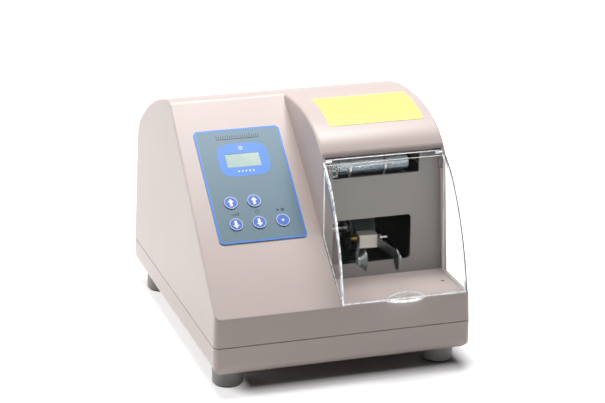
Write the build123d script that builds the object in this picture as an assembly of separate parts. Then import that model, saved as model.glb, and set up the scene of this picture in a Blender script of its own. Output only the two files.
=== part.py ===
"""Dental amalgamator: a bench-top mixer that shakes a capsule held in a spring fork.

Millimetres, +Z up. The origin is at the centre of the footprint, on the surface it stands on.
-Y is the front, where the clear lid is, and +X is the right side, where the mixing chamber is.
"""

from build123d import *
from math import atan2, cos, degrees, radians, sin, tan
import os

os.makedirs("parts", exist_ok=True)

# ---------------------------------------------------------------- casing
WIDTH = 230.0
DEPTH = 290.0
CORNER_R = 6.0
DRAFT = 2.35
WALL = 3.0
TRAY_BOTTOM = 16.2
TRAY_EDGE_R = 13.0
SEAM_Z = 44.0
SEAM_GAP = 0.7
TONGUE_HEIGHT = 3.0
TONGUE_GAP = 0.3
TONGUE_WALL = 1.8
TOP_Z = 212.0
FRONT_Y = -DEPTH / 2
REAR_Y = DEPTH / 2
CROWN_FRONT_Y = FRONT_Y + 133.0
CROWN_REAR_Y = CROWN_FRONT_Y + 15.0
ROOF_REAR = (REAR_Y - 15.0, TOP_Z - 45.5)
SHOULDER_R = 30.0
HULL_HEIGHT = TOP_Z - 22.0
SIDE_EDGE_R = 2.0
HOOD_EDGE_R = 3.0
CREASE_R = 8.0

# ---------------------------------------------------------------- sloped control panel, left
APRON_TOP_Z = 69.3
PANEL_FOOT_Y = FRONT_Y + 1.0
CREASE_Y = PANEL_FOOT_Y + 171.5
CREASE_Z = TOP_Z - 1.7
DIVIDE_X = -2.84

# ---------------------------------------------------------------- hood and mixing chamber, right
HOOD_MID = (CROWN_FRONT_Y - 54.1, TOP_Z - 11.5)
HOOD_NOSE = (CROWN_FRONT_Y - 71.2, TOP_Z - 24.3)
LIP_Y = CROWN_FRONT_Y - 72.9
LIP_Z = TOP_Z - 28.7
CHEEK_WALL_Y = LIP_Y - 3.7
SHELF_Z = 70.0
CHAMBER_BACK_Y = LIP_Y + 2.6
CHAMBER_WALL = 2.0
WINDOW_X0 = 9.5
WINDOW_X1 = 80.9
WINDOW_Z0 = 83.0
WINDOW_Z1 = 124.0
WINDOW_CORNER_R = 3.5
SLOT_X0 = 8.5
SLOT_X1 = 87.2
SLOT_Z0 = LIP_Z - 21.0
SLOT_Z1 = LIP_Z - 2.7
FIT = 0.3

# ---------------------------------------------------------------- clear lid
LID_SHEET = 2.2
LID_TOP = (LIP_Y, LIP_Z - 2.3)
LID_BEND = (LIP_Y - 28.7, LIP_Z - 27.9)
LID_FOOT = (FRONT_Y + 0.5, SHELF_Z + 0.4)
LID_TOP_SLOPE = 27.0
LID_RIGHT_FOOT = WIDTH / 2 - 3.8
LID_GAP = 0.6
LUG_LEFT = 9.0
LUG_RIGHT = 3.0
LUG_DEPTH = 6.5
LUG_LENGTH = 12.0
PIVOT_Y = LIP_Y - 0.6
PIVOT_Z = LIP_Z - 4.0
BEAD_R = 2.7
PIN_R = 1.25
PIN_LENGTH = 8.0
RUN_GAP = 0.05
TAB_X = 54.0
TAB_HALF_WIDTH = 17.5
TAB_REACH = 8.5
TAB_HEIGHT = 7.0
TAB_WALL = 1.8

# ---------------------------------------------------------------- feet
FOOT_X = WIDTH / 2 - 19.4
FOOT_Y = DEPTH / 2 - 28.8
FOOT_R = 13.5
PAD_R = 12.0
PAD_HEIGHT = 4.0
FOOT_START_Z = 1.5
FOOT_SCREW_R = 2.0
FOOT_SCREW_TIP_Z = 27.0
FOOT_BOSS_TOP_Z = 30.0

# ---------------------------------------------------------------- keypad
OVERLAY_X0 = -94.0
OVERLAY_X1 = -15.8
OVERLAY_S0 = 34.3
OVERLAY_S1 = 150.4
OVERLAY_CORNER_R = 4.0
OVERLAY_THICK = 0.8
KEY_R = 6.0
KEY_GAP = 0.3
KEY_THICK = 0.8
KEY_STEM_R = 2.0
KEY_TRAVEL = 0.7
KEYS = {
    "key_speed_up": (-76.0, 110.0),
    "key_time_up": (-55.2, 110.0),
    "key_speed_down": (-76.0, 132.0),
    "key_time_down": (-55.2, 132.0),
    "key_start": (-34.1, 132.0),
}
LCD_X = -55.2
LCD_S = 67.4
LCD_VIEW_WIDTH = 31.0
LCD_VIEW_HEIGHT = 13.6
LCD_GLASS_WIDTH = 35.0
LCD_GLASS_HEIGHT = 18.0
BOARD_DEPTH = 7.4
BOARD_THICK = 1.6
SWITCH_SIZE = 6.0
SWITCH_HEIGHT = 2.6

# ---------------------------------------------------------------- motor, shaft along X
CUP_REACH = 88.5
CUP_TO_LID_FOOT = 22.0
AXIS_Y = LID_FOOT[0] + CUP_TO_LID_FOOT + CUP_REACH
AXIS_Z = 99.5
MOTOR_X0 = -62.0
MOTOR_X1 = 8.0
BELL_LENGTH = 12.0
MOTOR_R = 31.0
CAN_WALL = 1.6
SHAFT_R = 4.0
SHAFT_X0 = -82.0
SHAFT_X1 = 62.5
SPIGOT_R = 14.0
SPIGOT_LENGTH = 3.0
BUSH_WALL = 3.0
STATOR_WALL = 7.0
ROTOR_R = 21.8
FAN_R = 26.0
FAN_BLADES = 9
BRACKET_PLATE = 3.0
BRACKET_TOP_Z = 27.0
BRACKET_MARGIN_Y = 26.0
MOUNT_R = 8.0

# ---------------------------------------------------------------- oblique bearing and fork
TILT = 6.0
HUB_X = 48.55
SLEEVE_R = 8.5
SLEEVE_LENGTH = 20.0
SLEEVE_COLLAR_R = 10.4
BEARING_OUTER_R = 17.5
BEARING_WIDTH = 10.0
RACE_WALL = 2.6
BALLS = 8
BALL_GAP = 0.04
HUB_R = 21.0
HUB_WIDTH = 22.0
HUB_LIP_R = 15.6
BLOCK_WIDTH = 16.4
BLOCK_DEPTH = 12.7
BLOCK_HEIGHT = 12.0
BLOCK_FRONT = 42.2
ARM_THICK = 1.4
ARM_HEIGHT = 9.0
ARM_TIP_HEIGHT = 7.0
ARM_BEND = 44.0
CUP_GAP = 26.8
CUP_RIM_R = 9.3
CUP_SHEET = 1.0
CUP_HOLE_R = 2.2
LEFT_CUP_DEPTH = 5.4
RIGHT_CUP_DEPTH = 2.6
LEFT_CUP_BASE_R = 4.8
RIGHT_CUP_BASE_R = 6.2
CLAMP_R = 1.2
CLAMP_BACK = 36.0
CLAMP_UP = 1.5
CLAMP_TAIL = 8.5
NUT_R = 2.9
NUT_THICK = 3.2
SPRING_COIL_R = 3.6
SPRING_WIRE_R = 0.6
SPRING_PITCH = 3.9
SPRING_BACK = 15.0
LUG_DROP = 21.5
LUG_EYE = 2.6
SPRING_FOOT_Z = 38.0

# ---------------------------------------------------------------- chamber lamp
LAMP_X0 = 4.0
LAMP_X1 = 79.0
LAMP_CAP = 12.0
LAMP_Y = CHAMBER_BACK_Y + 9.9
LAMP_Z = SLOT_Z0 + 7.3
LAMP_R = 6.4
LAMP_GLASS_WALL = 0.8
CLIP_OFFSET = 16.0
CLIP_WIDTH = 2.0

# ---------------------------------------------------------------- electrics
POWER_BOARD = (-8.0, 92.0, REAR_Y - 123.0, REAR_Y - 23.0)
POWER_BOARD_Z = 30.0
TRANSFORMER_X = -72.0
TRANSFORMER_Y = REAR_Y - 79.0
CORE_X = 34.0
CORE_Y = 52.0
CORE_Z = 44.0
REAR_PARTS_Z = 68.0
INLET_X = 36.0
ROCKER_X = 2.0
ROCKER_TILT = 12.0
LABEL_X0 = 13.0
LABEL_X1 = 99.0
LABEL_Y0 = CROWN_FRONT_Y - 48.0
LABEL_Y1 = CROWN_FRONT_Y + 6.0
LABEL_THICK = 0.3
LABEL_GLUE = 0.05

FLOOR_TOP = TRAY_BOTTOM + WALL
HOUSING_BOTTOM = SEAM_Z + SEAM_GAP / 2
TRAY_TOP = SEAM_Z - SEAM_GAP / 2
PANEL_ANGLE = degrees(atan2(CREASE_Z - APRON_TOP_Z, CREASE_Y - PANEL_FOOT_Y))
FAR = 400.0


# ---------------------------------------------------------------- helpers
def block(x0, x1, y0, y1, z0, z1):
    """A box given by its two corners."""
    centre = Pos((x0 + x1) / 2, (y0 + y1) / 2, (z0 + z1) / 2)
    return centre * Box(x1 - x0, y1 - y0, z1 - z0)


def rod_x(x0, x1, y, z, radius):
    """A cylinder along X."""
    return Pos((x0 + x1) / 2, y, z) * Rot(0, 90, 0) * Cylinder(radius, x1 - x0)


def rod_y(y0, y1, x, z, radius):
    """A cylinder along Y."""
    return Pos(x, (y0 + y1) / 2, z) * Rot(90, 0, 0) * Cylinder(radius, y1 - y0)


def rod_z(z0, z1, x, y, radius):
    """A cylinder along Z."""
    return Pos(x, y, (z0 + z1) / 2) * Cylinder(radius, z1 - z0)


def ring_x(x0, x1, y, z, outer, inner):
    """A tube along X."""
    return rod_x(x0, x1, y, z, outer) - rod_x(x0 - 1, x1 + 1, y, z, inner)


def side_prism(face, x0, x1):
    """Extrudes a face drawn in (Y, Z) from x0 to x1."""
    return extrude(Plane.YZ.offset(x0) * face, amount=x1 - x0)


def side_polygon(*points):
    """A closed face through the given (Y, Z) points."""
    return make_face(Polyline(*points, close=True))


def group(solids):
    """Several separate solids kept in one node."""
    return Compound(children=[part.solid() for part in solids])


def hull(inset, z0, z1):
    """The drafted outer block of the housing, set in by a wall, from z0 to z1."""
    start = inset + (z0 - HOUSING_BOTTOM) * tan(radians(DRAFT))
    outline = RectangleRounded(WIDTH - 2 * start, DEPTH - 2 * start, max(CORNER_R - inset, 1.0))
    return extrude(Pos(0, 0, z0) * outline, amount=z1 - z0, taper=DRAFT)


def rear_wall_y(z):
    """Where the rear outer wall is at a height."""
    return REAR_Y - (z - HOUSING_BOTTOM) * tan(radians(DRAFT))


def side_wall_x(z):
    """Where the right outer wall is at a height."""
    return WIDTH / 2 - (z - HOUSING_BOTTOM) * tan(radians(DRAFT))


# ---------------------------------------------------------------- side profiles in (Y, Z)
def roof_edges(inset):
    """The crown's rear arc and the rounded rear shoulder, set in by a wall."""
    rear = TangentArc((CROWN_REAR_Y, TOP_Z), ROOF_REAR, tangent=(1, 0))
    radius = roof_radius()
    if inset > 0:
        centre = (CROWN_REAR_Y, TOP_Z - radius)
        scale = (radius - inset) / radius
        end = tuple(c + (p - c) * scale for p, c in zip(ROOF_REAR, centre))
        rear = TangentArc((CROWN_REAR_Y, TOP_Z - inset), end, tangent=(1, 0))
    return rear


def roof_radius():
    """Radius of the crown's rear arc, tangent to the flat top."""
    dy = ROOF_REAR[0] - CROWN_REAR_Y
    dz = TOP_Z - ROOF_REAR[1]
    return (dy * dy + dz * dz) / (2 * dz)


def rear_outline(inset):
    """Rear arc, shoulder arc and a drop to below the seam, as a list of edges."""
    rear = roof_edges(inset)
    start = rear @ 1
    tangent = rear % 1
    fall = degrees(atan2(-tangent.Y, tangent.X))
    turn = radians(90 - DRAFT - fall)
    radius = SHOULDER_R - inset
    down = radians(fall)
    end = (
        start.X + radius * (sin(down + turn) - sin(down)),
        start.Y - radius * (cos(down) - cos(down + turn)),
    )
    shoulder = TangentArc((start.X, start.Y), end, tangent=(tangent.X, tangent.Y))
    foot = Line(end, (end[0] + 12, 20.0))
    return [rear, shoulder, foot]


def panel_face(inset):
    """Side view of the control panel half, set in by a wall."""
    angle = radians(PANEL_ANGLE)
    rise = inset / cos(angle)
    slope = tan(angle)
    front_y = -REAR_Y - 20
    front_z = CREASE_Z - rise + (front_y - CREASE_Y) * slope
    high = (CREASE_Y + 60, CREASE_Z - rise + 60 * slope)
    slab = side_polygon((front_y, 20), (front_y, front_z), high, (DEPTH, high[1]), (DEPTH, 20))
    face = slab & roof_face(inset, front_y)
    crease = face.vertices().sort_by(Axis.Y)[-1]
    return fillet(crease, CREASE_R)


def roof_face(inset, front_y):
    """Everything below the crown and in front of the rear wall, back from front_y."""
    edges = rear_outline(inset)
    foot = edges[-1] @ 1
    front = Polyline(
        (foot.X, foot.Y), (front_y, 20), (front_y, TOP_Z - inset), (CROWN_REAR_Y, TOP_Z - inset)
    )
    return make_face(edges + [front])


def hood_front_edges():
    """Crown, hood front and nose down to the lip, as edges running forward."""
    crown = Line((CROWN_REAR_Y, TOP_Z), (CROWN_FRONT_Y, TOP_Z))
    first = TangentArc((CROWN_FRONT_Y, TOP_Z), HOOD_MID, tangent=(-1, 0))
    second = TangentArc(HOOD_MID, HOOD_NOSE, tangent=first % 1)
    third = TangentArc(HOOD_NOSE, (LIP_Y, LIP_Z), tangent=second % 1)
    return [crown, first, second, third]


def hood_face(inset):
    """Side view of the hood, down to the bottom of the housing and set in by a wall."""
    front = hood_front_edges()
    rear = rear_outline(0)
    foot = rear[-1] @ 1
    close = Polyline((LIP_Y, LIP_Z), (LIP_Y, 20), (foot.X, foot.Y))
    face = make_face(rear + front + [close])
    if inset > 0:
        face = offset(face, -inset)
    return face


# ---------------------------------------------------------------- base tray and feet
def tray_block(inset, z0, z1):
    """The tray's rounded outer block, set in by a wall."""
    half_x = WIDTH / 2 - inset
    half_y = DEPTH / 2 - inset
    edge = max(TRAY_EDGE_R - inset, 1.0)
    tall = z1 - z0 + edge
    front = Pos(0, z0 + tall / 2) * Rectangle(2 * half_x, tall)
    side = Pos(0, z0 + tall / 2) * Rectangle(2 * half_y, tall)
    front = fillet(front.vertices().sort_by(Axis.Y)[:2], edge)
    side = fillet(side.vertices().sort_by(Axis.Y)[:2], edge)
    plan = RectangleRounded(2 * half_x, 2 * half_y, max(CORNER_R - inset, 1.0))
    solid = extrude(Plane.XZ * front, amount=FAR / 2, both=True)
    solid &= side_prism(side, -FAR / 2, FAR / 2)
    solid &= extrude(Pos(0, 0, z0) * plan, amount=z1 - z0)
    return solid


def corners(x, y):
    """The four places mirrored about both middle planes."""
    return [(sx * x, sy * y) for sx in (-1, 1) for sy in (-1, 1)]


CASE_SCREW_X = WIDTH / 2 - 47.0
CASE_SCREW_Y = DEPTH / 2 - 15.0
CASE_SCREW_R = 2.0
CASE_BOSS_R = 4.6
CASE_SCREW_TIP_Z = 56.0
CASE_BOSS_TOP_Z = 64.0
HEAD_R = 3.6
HEAD_HEIGHT = 2.4
VENT_COUNT = 7
VENT_PITCH = 8.0
VENT_WIDTH = 3.4
STANDOFF_R = 4.0


def case_screw_places():
    """Screws that hold the housing down on the tray."""
    return corners(CASE_SCREW_X, CASE_SCREW_Y)


def bracket_mount_places():
    """Rubber mounts under the motor bracket."""
    x0 = MOTOR_X0 + 8
    x1 = MOTOR_X1 - 8
    return [(x, AXIS_Y + dy) for x in (x0, x1) for dy in (-BRACKET_MARGIN_Y + 8, BRACKET_MARGIN_Y - 8)]


def board_post_places():
    """Posts under the power board."""
    x0, x1, y0, y1 = POWER_BOARD
    return [(x, y) for x in (x0 + 6, x1 - 6) for y in (y0 + 6, y1 - 6)]


def inner_outline(gap=0.0):
    """Plan of the housing's inside at the seam, set in by a gap."""
    inset = WALL + gap
    return RectangleRounded(WIDTH - 2 * inset, DEPTH - 2 * inset, CORNER_R - WALL)


def make_base_tray():
    tray = tray_block(0, TRAY_BOTTOM, TRAY_TOP) - tray_block(WALL, FLOOR_TOP, TRAY_TOP + 1)
    tongue_in = inner_outline(TONGUE_GAP + TONGUE_WALL)
    lip = inner_outline(TONGUE_GAP) - tongue_in
    ledge = inner_outline(-0.2) - tongue_in
    tray += extrude(Pos(0, 0, TRAY_TOP - 5) * ledge, amount=5)
    tray += extrude(Pos(0, 0, TRAY_TOP - 5) * lip, amount=5 + TONGUE_HEIGHT)
    for x, y in corners(FOOT_X, FOOT_Y):
        tray += rod_z(TRAY_BOTTOM + 1, FOOT_BOSS_TOP_Z, x, y, 6.0)
        tray += rod_z(TRAY_BOTTOM, FLOOR_TOP, x, y, FOOT_R)
    for x, y in case_screw_places():
        tray += rod_z(TRAY_BOTTOM + 1, HOUSING_BOTTOM, x, y, CASE_BOSS_R)
    for x, y in board_post_places():
        tray += rod_z(FLOOR_TOP - 1, POWER_BOARD_Z, x, y, STANDOFF_R)
    for x, y in corners(FOOT_X, FOOT_Y):
        tray -= rod_z(TRAY_BOTTOM - 1, FOOT_SCREW_TIP_Z + 0.5, x, y, FOOT_SCREW_R)
    for x, y in case_screw_places():
        tray -= rod_z(TRAY_BOTTOM - 1, HOUSING_BOTTOM + 1, x, y, CASE_SCREW_R + 0.2)
        tray -= rod_z(TRAY_BOTTOM - 1, TRAY_BOTTOM + HEAD_HEIGHT + 0.8, x, y, HEAD_R + 0.3)
    for x, y in board_post_places():
        tray -= rod_z(POWER_BOARD_Z - 7, POWER_BOARD_Z + 1, x, y, 1.2)
    for x, y in bracket_mount_places() + ear_screw_places():
        tray -= rod_z(TRAY_BOTTOM - 1, FLOOR_TOP + 1, x, y, 2.0)
    for index in range(VENT_COUNT):
        x = (index - (VENT_COUNT - 1) / 2) * VENT_PITCH
        tray -= block(x - VENT_WIDTH / 2, x + VENT_WIDTH / 2, 40, 90, TRAY_BOTTOM - 1, FLOOR_TOP + 1)
    return tray


def make_feet():
    return group([make_foot(x, y) for x, y in corners(FOOT_X, FOOT_Y)])


def make_foot(x, y):
    foot = rod_z(FOOT_START_Z, TRAY_BOTTOM, x, y, FOOT_R)
    foot = fillet(foot.edges().group_by(Axis.Z)[0], 0.8)
    foot -= rod_z(0, PAD_HEIGHT, x, y, PAD_R)
    foot -= rod_z(0, TRAY_BOTTOM + 1, x, y, FOOT_SCREW_R + 0.1)
    foot -= rod_z(PAD_HEIGHT - 1, PAD_HEIGHT + HEAD_HEIGHT + 0.4, x, y, HEAD_R + 0.3)
    return foot


def make_foot_pads():
    pads = []
    for x, y in corners(FOOT_X, FOOT_Y):
        pad = rod_z(0, PAD_HEIGHT, x, y, PAD_R)
        pads.append(fillet(pad.edges().group_by(Axis.Z)[0], 0.6))
    return group(pads)


def pan_screw(x, y, head_z, tip_z, radius, head_r=HEAD_R, head_height=HEAD_HEIGHT):
    """A screw along Z, its head under head_z when it points up, or over it when it points down."""
    up = 1 if tip_z > head_z else -1
    low, high = sorted((head_z, head_z - up * head_height))
    shank_low, shank_high = sorted((head_z, tip_z))
    screw = rod_z(low, high, x, y, head_r) + rod_z(shank_low, shank_high, x, y, radius)
    socket_low, socket_high = sorted((head_z - up * head_height, head_z - up * head_height * 0.4))
    for turn in (0, 90):
        cross = Pos(x, y, (socket_low + socket_high) / 2) * Rot(0, 0, turn)
        screw -= cross * Box(head_r * 1.2, head_r * 0.28, socket_high - socket_low)
    return screw


def make_foot_screws():
    head_z = PAD_HEIGHT + HEAD_HEIGHT + 0.4
    spots = corners(FOOT_X, FOOT_Y)
    return group([pan_screw(x, y, head_z, FOOT_SCREW_TIP_Z, FOOT_SCREW_R) for x, y in spots])


def make_case_screws():
    head_z = TRAY_BOTTOM + HEAD_HEIGHT + 0.8
    return group([pan_screw(x, y, head_z, CASE_SCREW_TIP_Z, CASE_SCREW_R) for x, y in case_screw_places()])


# ---------------------------------------------------------------- control panel frame of reference
def panel_frame(lift=0.0):
    """Plane of the sloped panel: X to the right, Y up the slope, Z outward, origin at the crease."""
    angle = radians(PANEL_ANGLE)
    normal = (0, -sin(angle), cos(angle))
    plane = Plane(origin=(0, CREASE_Y, CREASE_Z), x_dir=(1, 0, 0), z_dir=normal)
    return plane.offset(lift)


def on_panel(shape, x, s, lift=0.0):
    """Places a shape at x and at the distance s down the slope from the crease."""
    return panel_frame(lift) * Pos(x, -s, 0) * shape


def panel_block(width, height, x, s, z0, z1, radius=0.0):
    """A plate on the panel, from z0 to z1 out of the panel's surface."""
    outline = RectangleRounded(width, height, radius) if radius else Rectangle(width, height)
    return on_panel(extrude(outline, amount=z1 - z0), x, s, z0)


def panel_rod(radius, x, s, z0, z1):
    """A cylinder standing on the panel, from z0 to z1 out of its surface."""
    return on_panel(extrude(Circle(radius), amount=z1 - z0), x, s, z0)


# ---------------------------------------------------------------- upper housing
REAR_OPENINGS_DEPTH = 8.0
INLET_WIDTH = 27.5
INLET_HEIGHT = 20.0
ROCKER_WIDTH = 13.0
ROCKER_HEIGHT = 19.4
FRAME_GAP = 0.2
BOARD_POST_X = 37.0
BOARD_POST_S = 54.0
SENSOR_X = WIDTH / 2 - 14.1
SENSOR_Y = FRONT_Y + 33.5
SENSOR_R = 1.6


def board_fixings():
    """Posts between the panel and the display board."""
    mid_x = (OVERLAY_X0 + OVERLAY_X1) / 2
    mid_s = (OVERLAY_S0 + OVERLAY_S1) / 2
    return [(mid_x + sx * BOARD_POST_X, mid_s + ss * BOARD_POST_S) for sx in (-1, 1) for ss in (-1, 1)]


def make_upper_housing():
    outer = hull(0, HOUSING_BOTTOM, HOUSING_BOTTOM + HULL_HEIGHT)
    inner = hull(WALL, HOUSING_BOTTOM, HOUSING_BOTTOM + HULL_HEIGHT)
    inner += extrude(Pos(0, 0, HOUSING_BOTTOM - 1) * inner_outline(), amount=1.5)
    left_in = side_prism(panel_face(WALL), -FAR / 2, DIVIDE_X - WALL)
    right = side_prism(cheek_strip(), DIVIDE_X, FAR / 2)
    right += block(DIVIDE_X, FAR / 2, -REAR_Y - 1, LIP_Y + 2, 20, SHELF_Z)
    solid = (outer & right) + rounded_hood(outer) + rounded_left_half(outer)
    cavity = left_in + right_cavity()
    common = panel_face(WALL) & roof_face(WALL, CHAMBER_BACK_Y + CHAMBER_WALL)
    cavity += side_prism(common, DIVIDE_X - WALL - 1, DIVIDE_X + WALL + 1)
    solid -= inner & cavity
    solid = add_housing_bosses(solid)
    solid = cut_housing_openings(solid)
    return solid


def edges_between(solid, x_low, x_high, z_low):
    """The edges that lie wholly between two X planes and above a height."""
    chosen = []
    for edge in solid.edges():
        low, high = edge.bounding_box().min, edge.bounding_box().max
        if low.X >= x_low and high.X <= x_high and low.Z >= z_low:
            chosen.append(edge)
    return chosen


def rounded_hood(outer):
    """The hood with its two roof edges rounded."""
    hood = outer & side_prism(hood_face(0), DIVIDE_X, FAR / 2)
    top_x = side_wall_x(TOP_Z)
    low_z = ROOF_REAR[1] - SHOULDER_R / 2
    hood = fillet(edges_between(hood, top_x - 1, top_x + 4, low_z), SIDE_EDGE_R)
    return fillet(edges_between(hood, DIVIDE_X - 0.01, DIVIDE_X + 0.01, low_z), HOOD_EDGE_R)


def rounded_left_half(outer):
    """The control panel half, its outer edge rounded, reaching a little way under the hood."""
    face = panel_face(0)
    half = outer & side_prism(face, -FAR / 2, DIVIDE_X)
    top_x = side_wall_x(TOP_Z)
    half = fillet(edges_between(half, -WIDTH / 2 + 1, -top_x + 1, APRON_TOP_Z - 1), SIDE_EDGE_R)
    reach = outer & side_prism(face, DIVIDE_X, DIVIDE_X + HOOD_EDGE_R + 1)
    return half + (reach & block(-FAR, FAR, CHAMBER_BACK_Y + CHAMBER_WALL, FAR, 0, FAR))


def cheek_strip():
    """Side view of the wall strips that stand in front of the lip."""
    low = SHELF_Z - 2
    shoulder = (CHEEK_WALL_Y, PIVOT_Z - 2.5)
    back = LIP_Y + WALL
    return side_polygon((CHEEK_WALL_Y, low), shoulder, (LIP_Y, LIP_Z), (back, LIP_Z + 3), (back, low))


def right_cavity():
    """Room inside the hood, open to the front above the shelf."""
    inside = side_prism(hood_face(WALL), DIVIDE_X + WALL, FAR / 2)
    chamber = block(DIVIDE_X + WALL, FAR / 2, -REAR_Y - 5, LIP_Y + WALL + 1, SHELF_Z, LIP_Z)
    rear_floor = CHAMBER_BACK_Y + CHAMBER_WALL
    under = block(DIVIDE_X - WALL - 0.1, FAR / 2, -REAR_Y - 5, FAR / 2, 20, SHELF_Z - WALL)
    behind = side_prism(hood_face(WALL), DIVIDE_X + WALL, FAR / 2) & block(0, FAR, rear_floor, FAR, 20, FAR)
    keep = block(-FAR, FAR, -REAR_Y, rear_floor, SHELF_Z - WALL, SHELF_Z)
    return (inside - keep) + chamber + under + behind


def add_housing_bosses(solid):
    """Screw bosses inside the housing, each tied to the nearest wall."""
    for x, y in case_screw_places():
        solid += rod_z(HOUSING_BOTTOM, CASE_BOSS_TOP_Z, x, y, CASE_BOSS_R)
        front = -REAR_Y + 1.8 if y < 0 else CASE_SCREW_Y
        back = -CASE_SCREW_Y if y < 0 else REAR_Y - 1.8
        solid += block(x - 1.2, x + 1.2, front, back, TRAY_TOP + TONGUE_HEIGHT + 1, CASE_BOSS_TOP_Z - 2)
    for x, s in board_fixings():
        solid += panel_rod(3.2, x, s, -BOARD_DEPTH, -WALL + 0.5)
    ledge = CHAMBER_BACK_Y + CHAMBER_WALL
    rib_left = block(DIVIDE_X + 1, DIVIDE_X + WALL + 3, ledge, ledge + 2.5, SHELF_Z - 2, LIP_Z - 2)
    rib_right = block(SLOT_X1 + 12, FAR / 3, ledge, ledge + 2.5, SHELF_Z - 2, LIP_Z - 2)
    rib_right &= hull(1, HOUSING_BOTTOM, HOUSING_BOTTOM + HULL_HEIGHT)
    return solid + rib_left + rib_right


def cut_housing_openings(solid):
    """Screw pilots, key holes, display opening, rear openings, vents and pin holes."""
    for x, y in case_screw_places():
        solid -= rod_z(HOUSING_BOTTOM - 1, CASE_SCREW_TIP_Z + 0.5, x, y, CASE_SCREW_R)
    for x, s in KEYS.values():
        solid -= panel_rod(KEY_STEM_R + 0.3, x, s, -BOARD_DEPTH, 1)
    for x, s in board_fixings():
        solid -= panel_rod(1.2, x, s, -BOARD_DEPTH - 1, -WALL + 1)
    solid -= panel_block(LCD_GLASS_WIDTH + 0.6, LCD_GLASS_HEIGHT + 0.6, LCD_X, LCD_S, -WALL - 2, 1)
    rear = REAR_Y - REAR_OPENINGS_DEPTH
    z = REAR_PARTS_Z
    solid -= Pos(INLET_X, (rear + REAR_Y + 1) / 2, z) * Box(INLET_WIDTH, REAR_Y + 1 - rear, INLET_HEIGHT)
    solid -= Pos(ROCKER_X, (rear + REAR_Y + 1) / 2, z) * Box(ROCKER_WIDTH, REAR_Y + 1 - rear, ROCKER_HEIGHT)
    for index in range(VENT_COUNT):
        x = -60 + (index - (VENT_COUNT - 1) / 2) * VENT_PITCH
        solid -= block(x - VENT_WIDTH / 2, x + VENT_WIDTH / 2, rear, REAR_Y + 1, 60, 96)
    solid -= rod_x(DIVIDE_X + 0.8, side_wall_x(PIVOT_Z) - 0.8, PIVOT_Y, PIVOT_Z, PIN_R)
    solid -= rod_z(SHELF_Z - WALL - 1, SHELF_Z + 1, SENSOR_X, SENSOR_Y, SENSOR_R)
    return solid


def make_chamber_panel():
    outline = hull(WALL + FIT, HOUSING_BOTTOM, HOUSING_BOTTOM + HULL_HEIGHT)
    slab = block(
        DIVIDE_X + WALL + FIT, FAR / 2, CHAMBER_BACK_Y, CHAMBER_BACK_Y + CHAMBER_WALL, SHELF_Z, LIP_Z - FIT
    )
    panel = outline & slab
    window = RectangleRounded(WINDOW_X1 - WINDOW_X0, WINDOW_Z1 - WINDOW_Z0, WINDOW_CORNER_R)
    window = Pos((WINDOW_X0 + WINDOW_X1) / 2, (WINDOW_Z0 + WINDOW_Z1) / 2) * window
    panel -= extrude(Plane.XZ * window, amount=-CHAMBER_BACK_Y + 5)
    slot = RectangleRounded(SLOT_X1 - SLOT_X0, SLOT_Z1 - SLOT_Z0, 1.0)
    slot = Pos((SLOT_X0 + SLOT_X1) / 2, (SLOT_Z0 + SLOT_Z1) / 2) * slot
    panel -= extrude(Plane.XZ * slot, amount=-CHAMBER_BACK_Y + 5)
    return panel


def make_label():
    """Adhesive label that follows the roof."""
    under = make_face(
        hood_front_edges()
        + [Polyline((LIP_Y, LIP_Z), (LIP_Y, 100), (CROWN_REAR_Y, 100), (CROWN_REAR_Y, TOP_Z))]
    )
    over = offset(under, LABEL_THICK)
    glue = offset(under, LABEL_GLUE)
    skin = side_prism(over, LABEL_X0, LABEL_X1) - side_prism(glue, LABEL_X0 - 1, LABEL_X1 + 1)
    return skin & block(LABEL_X0, LABEL_X1, LABEL_Y0, LABEL_Y1, 150, FAR)


# ---------------------------------------------------------------- lid
def lid_edges():
    """Outer curve of the lid sheet, from the hinge down to the shelf."""
    slope = radians(LID_TOP_SLOPE)
    first = TangentArc(LID_TOP, LID_BEND, tangent=(-cos(slope), -sin(slope)))
    second = TangentArc(LID_BEND, LID_FOOT, tangent=first % 1)
    return [first, second]


def lid_face(inset):
    """Side view of the space behind the lid's curve, set in by the sheet."""
    back = Polyline(LID_FOOT, (LID_FOOT[0], 0), (30, 0), (30, LID_TOP[1] + 60), LID_TOP)
    face = make_face(lid_edges() + [back])
    if inset > 0:
        face = offset(face, -inset)
    return face


def make_lid():
    sheet = lid_solid(0) - lid_solid(LID_SHEET)
    sheet -= block(-FAR, FAR, CHEEK_WALL_Y - LID_GAP, FAR, 0, FAR) - lid_hinge_room()
    bead_x0, bead_x1 = bead_span()
    sheet += rod_x(bead_x0, bead_x1, PIVOT_Y, PIVOT_Z, BEAD_R)
    for x0, x1 in ((bead_x0, bead_x0 + LUG_LEFT), (bead_x1 - LUG_RIGHT, bead_x1)):
        lug = block(x0, x1, PIVOT_Y - LUG_DEPTH, PIVOT_Y - 0.5, PIVOT_Z - LUG_LENGTH, PIVOT_Z - 1.0)
        sheet += lug & lid_solid(0)
    hole = rod_x(-FAR, FAR, PIVOT_Y, PIVOT_Z, PIN_R + RUN_GAP)
    middle = block(bead_x0 + PIN_LENGTH - 2, bead_x1 - PIN_LENGTH + 2, -FAR, FAR, 0, FAR)
    return sheet - (hole - middle) + thumb_scoop()


def lid_solid(inset):
    """The room under the lid's curve and between its two cheeks, set in by the sheet."""
    left = DIVIDE_X + 0.5 + inset
    top = LID_TOP[1] + 8
    foot = LID_FOOT[1]
    right_top = side_wall_x(top) - 0.4 - inset
    outline = [(left, foot), (LID_RIGHT_FOOT - inset, foot), (right_top, top), (left, top)]
    if inset > 0:
        outline[0] = (left, foot - 5)
        outline[1] = (LID_RIGHT_FOOT - inset, foot - 5)
    walls = extrude(Plane.XZ * make_face(Polyline(*outline, close=True)), amount=FAR)
    return walls & side_prism(lid_face(inset), -FAR, FAR)


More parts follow.
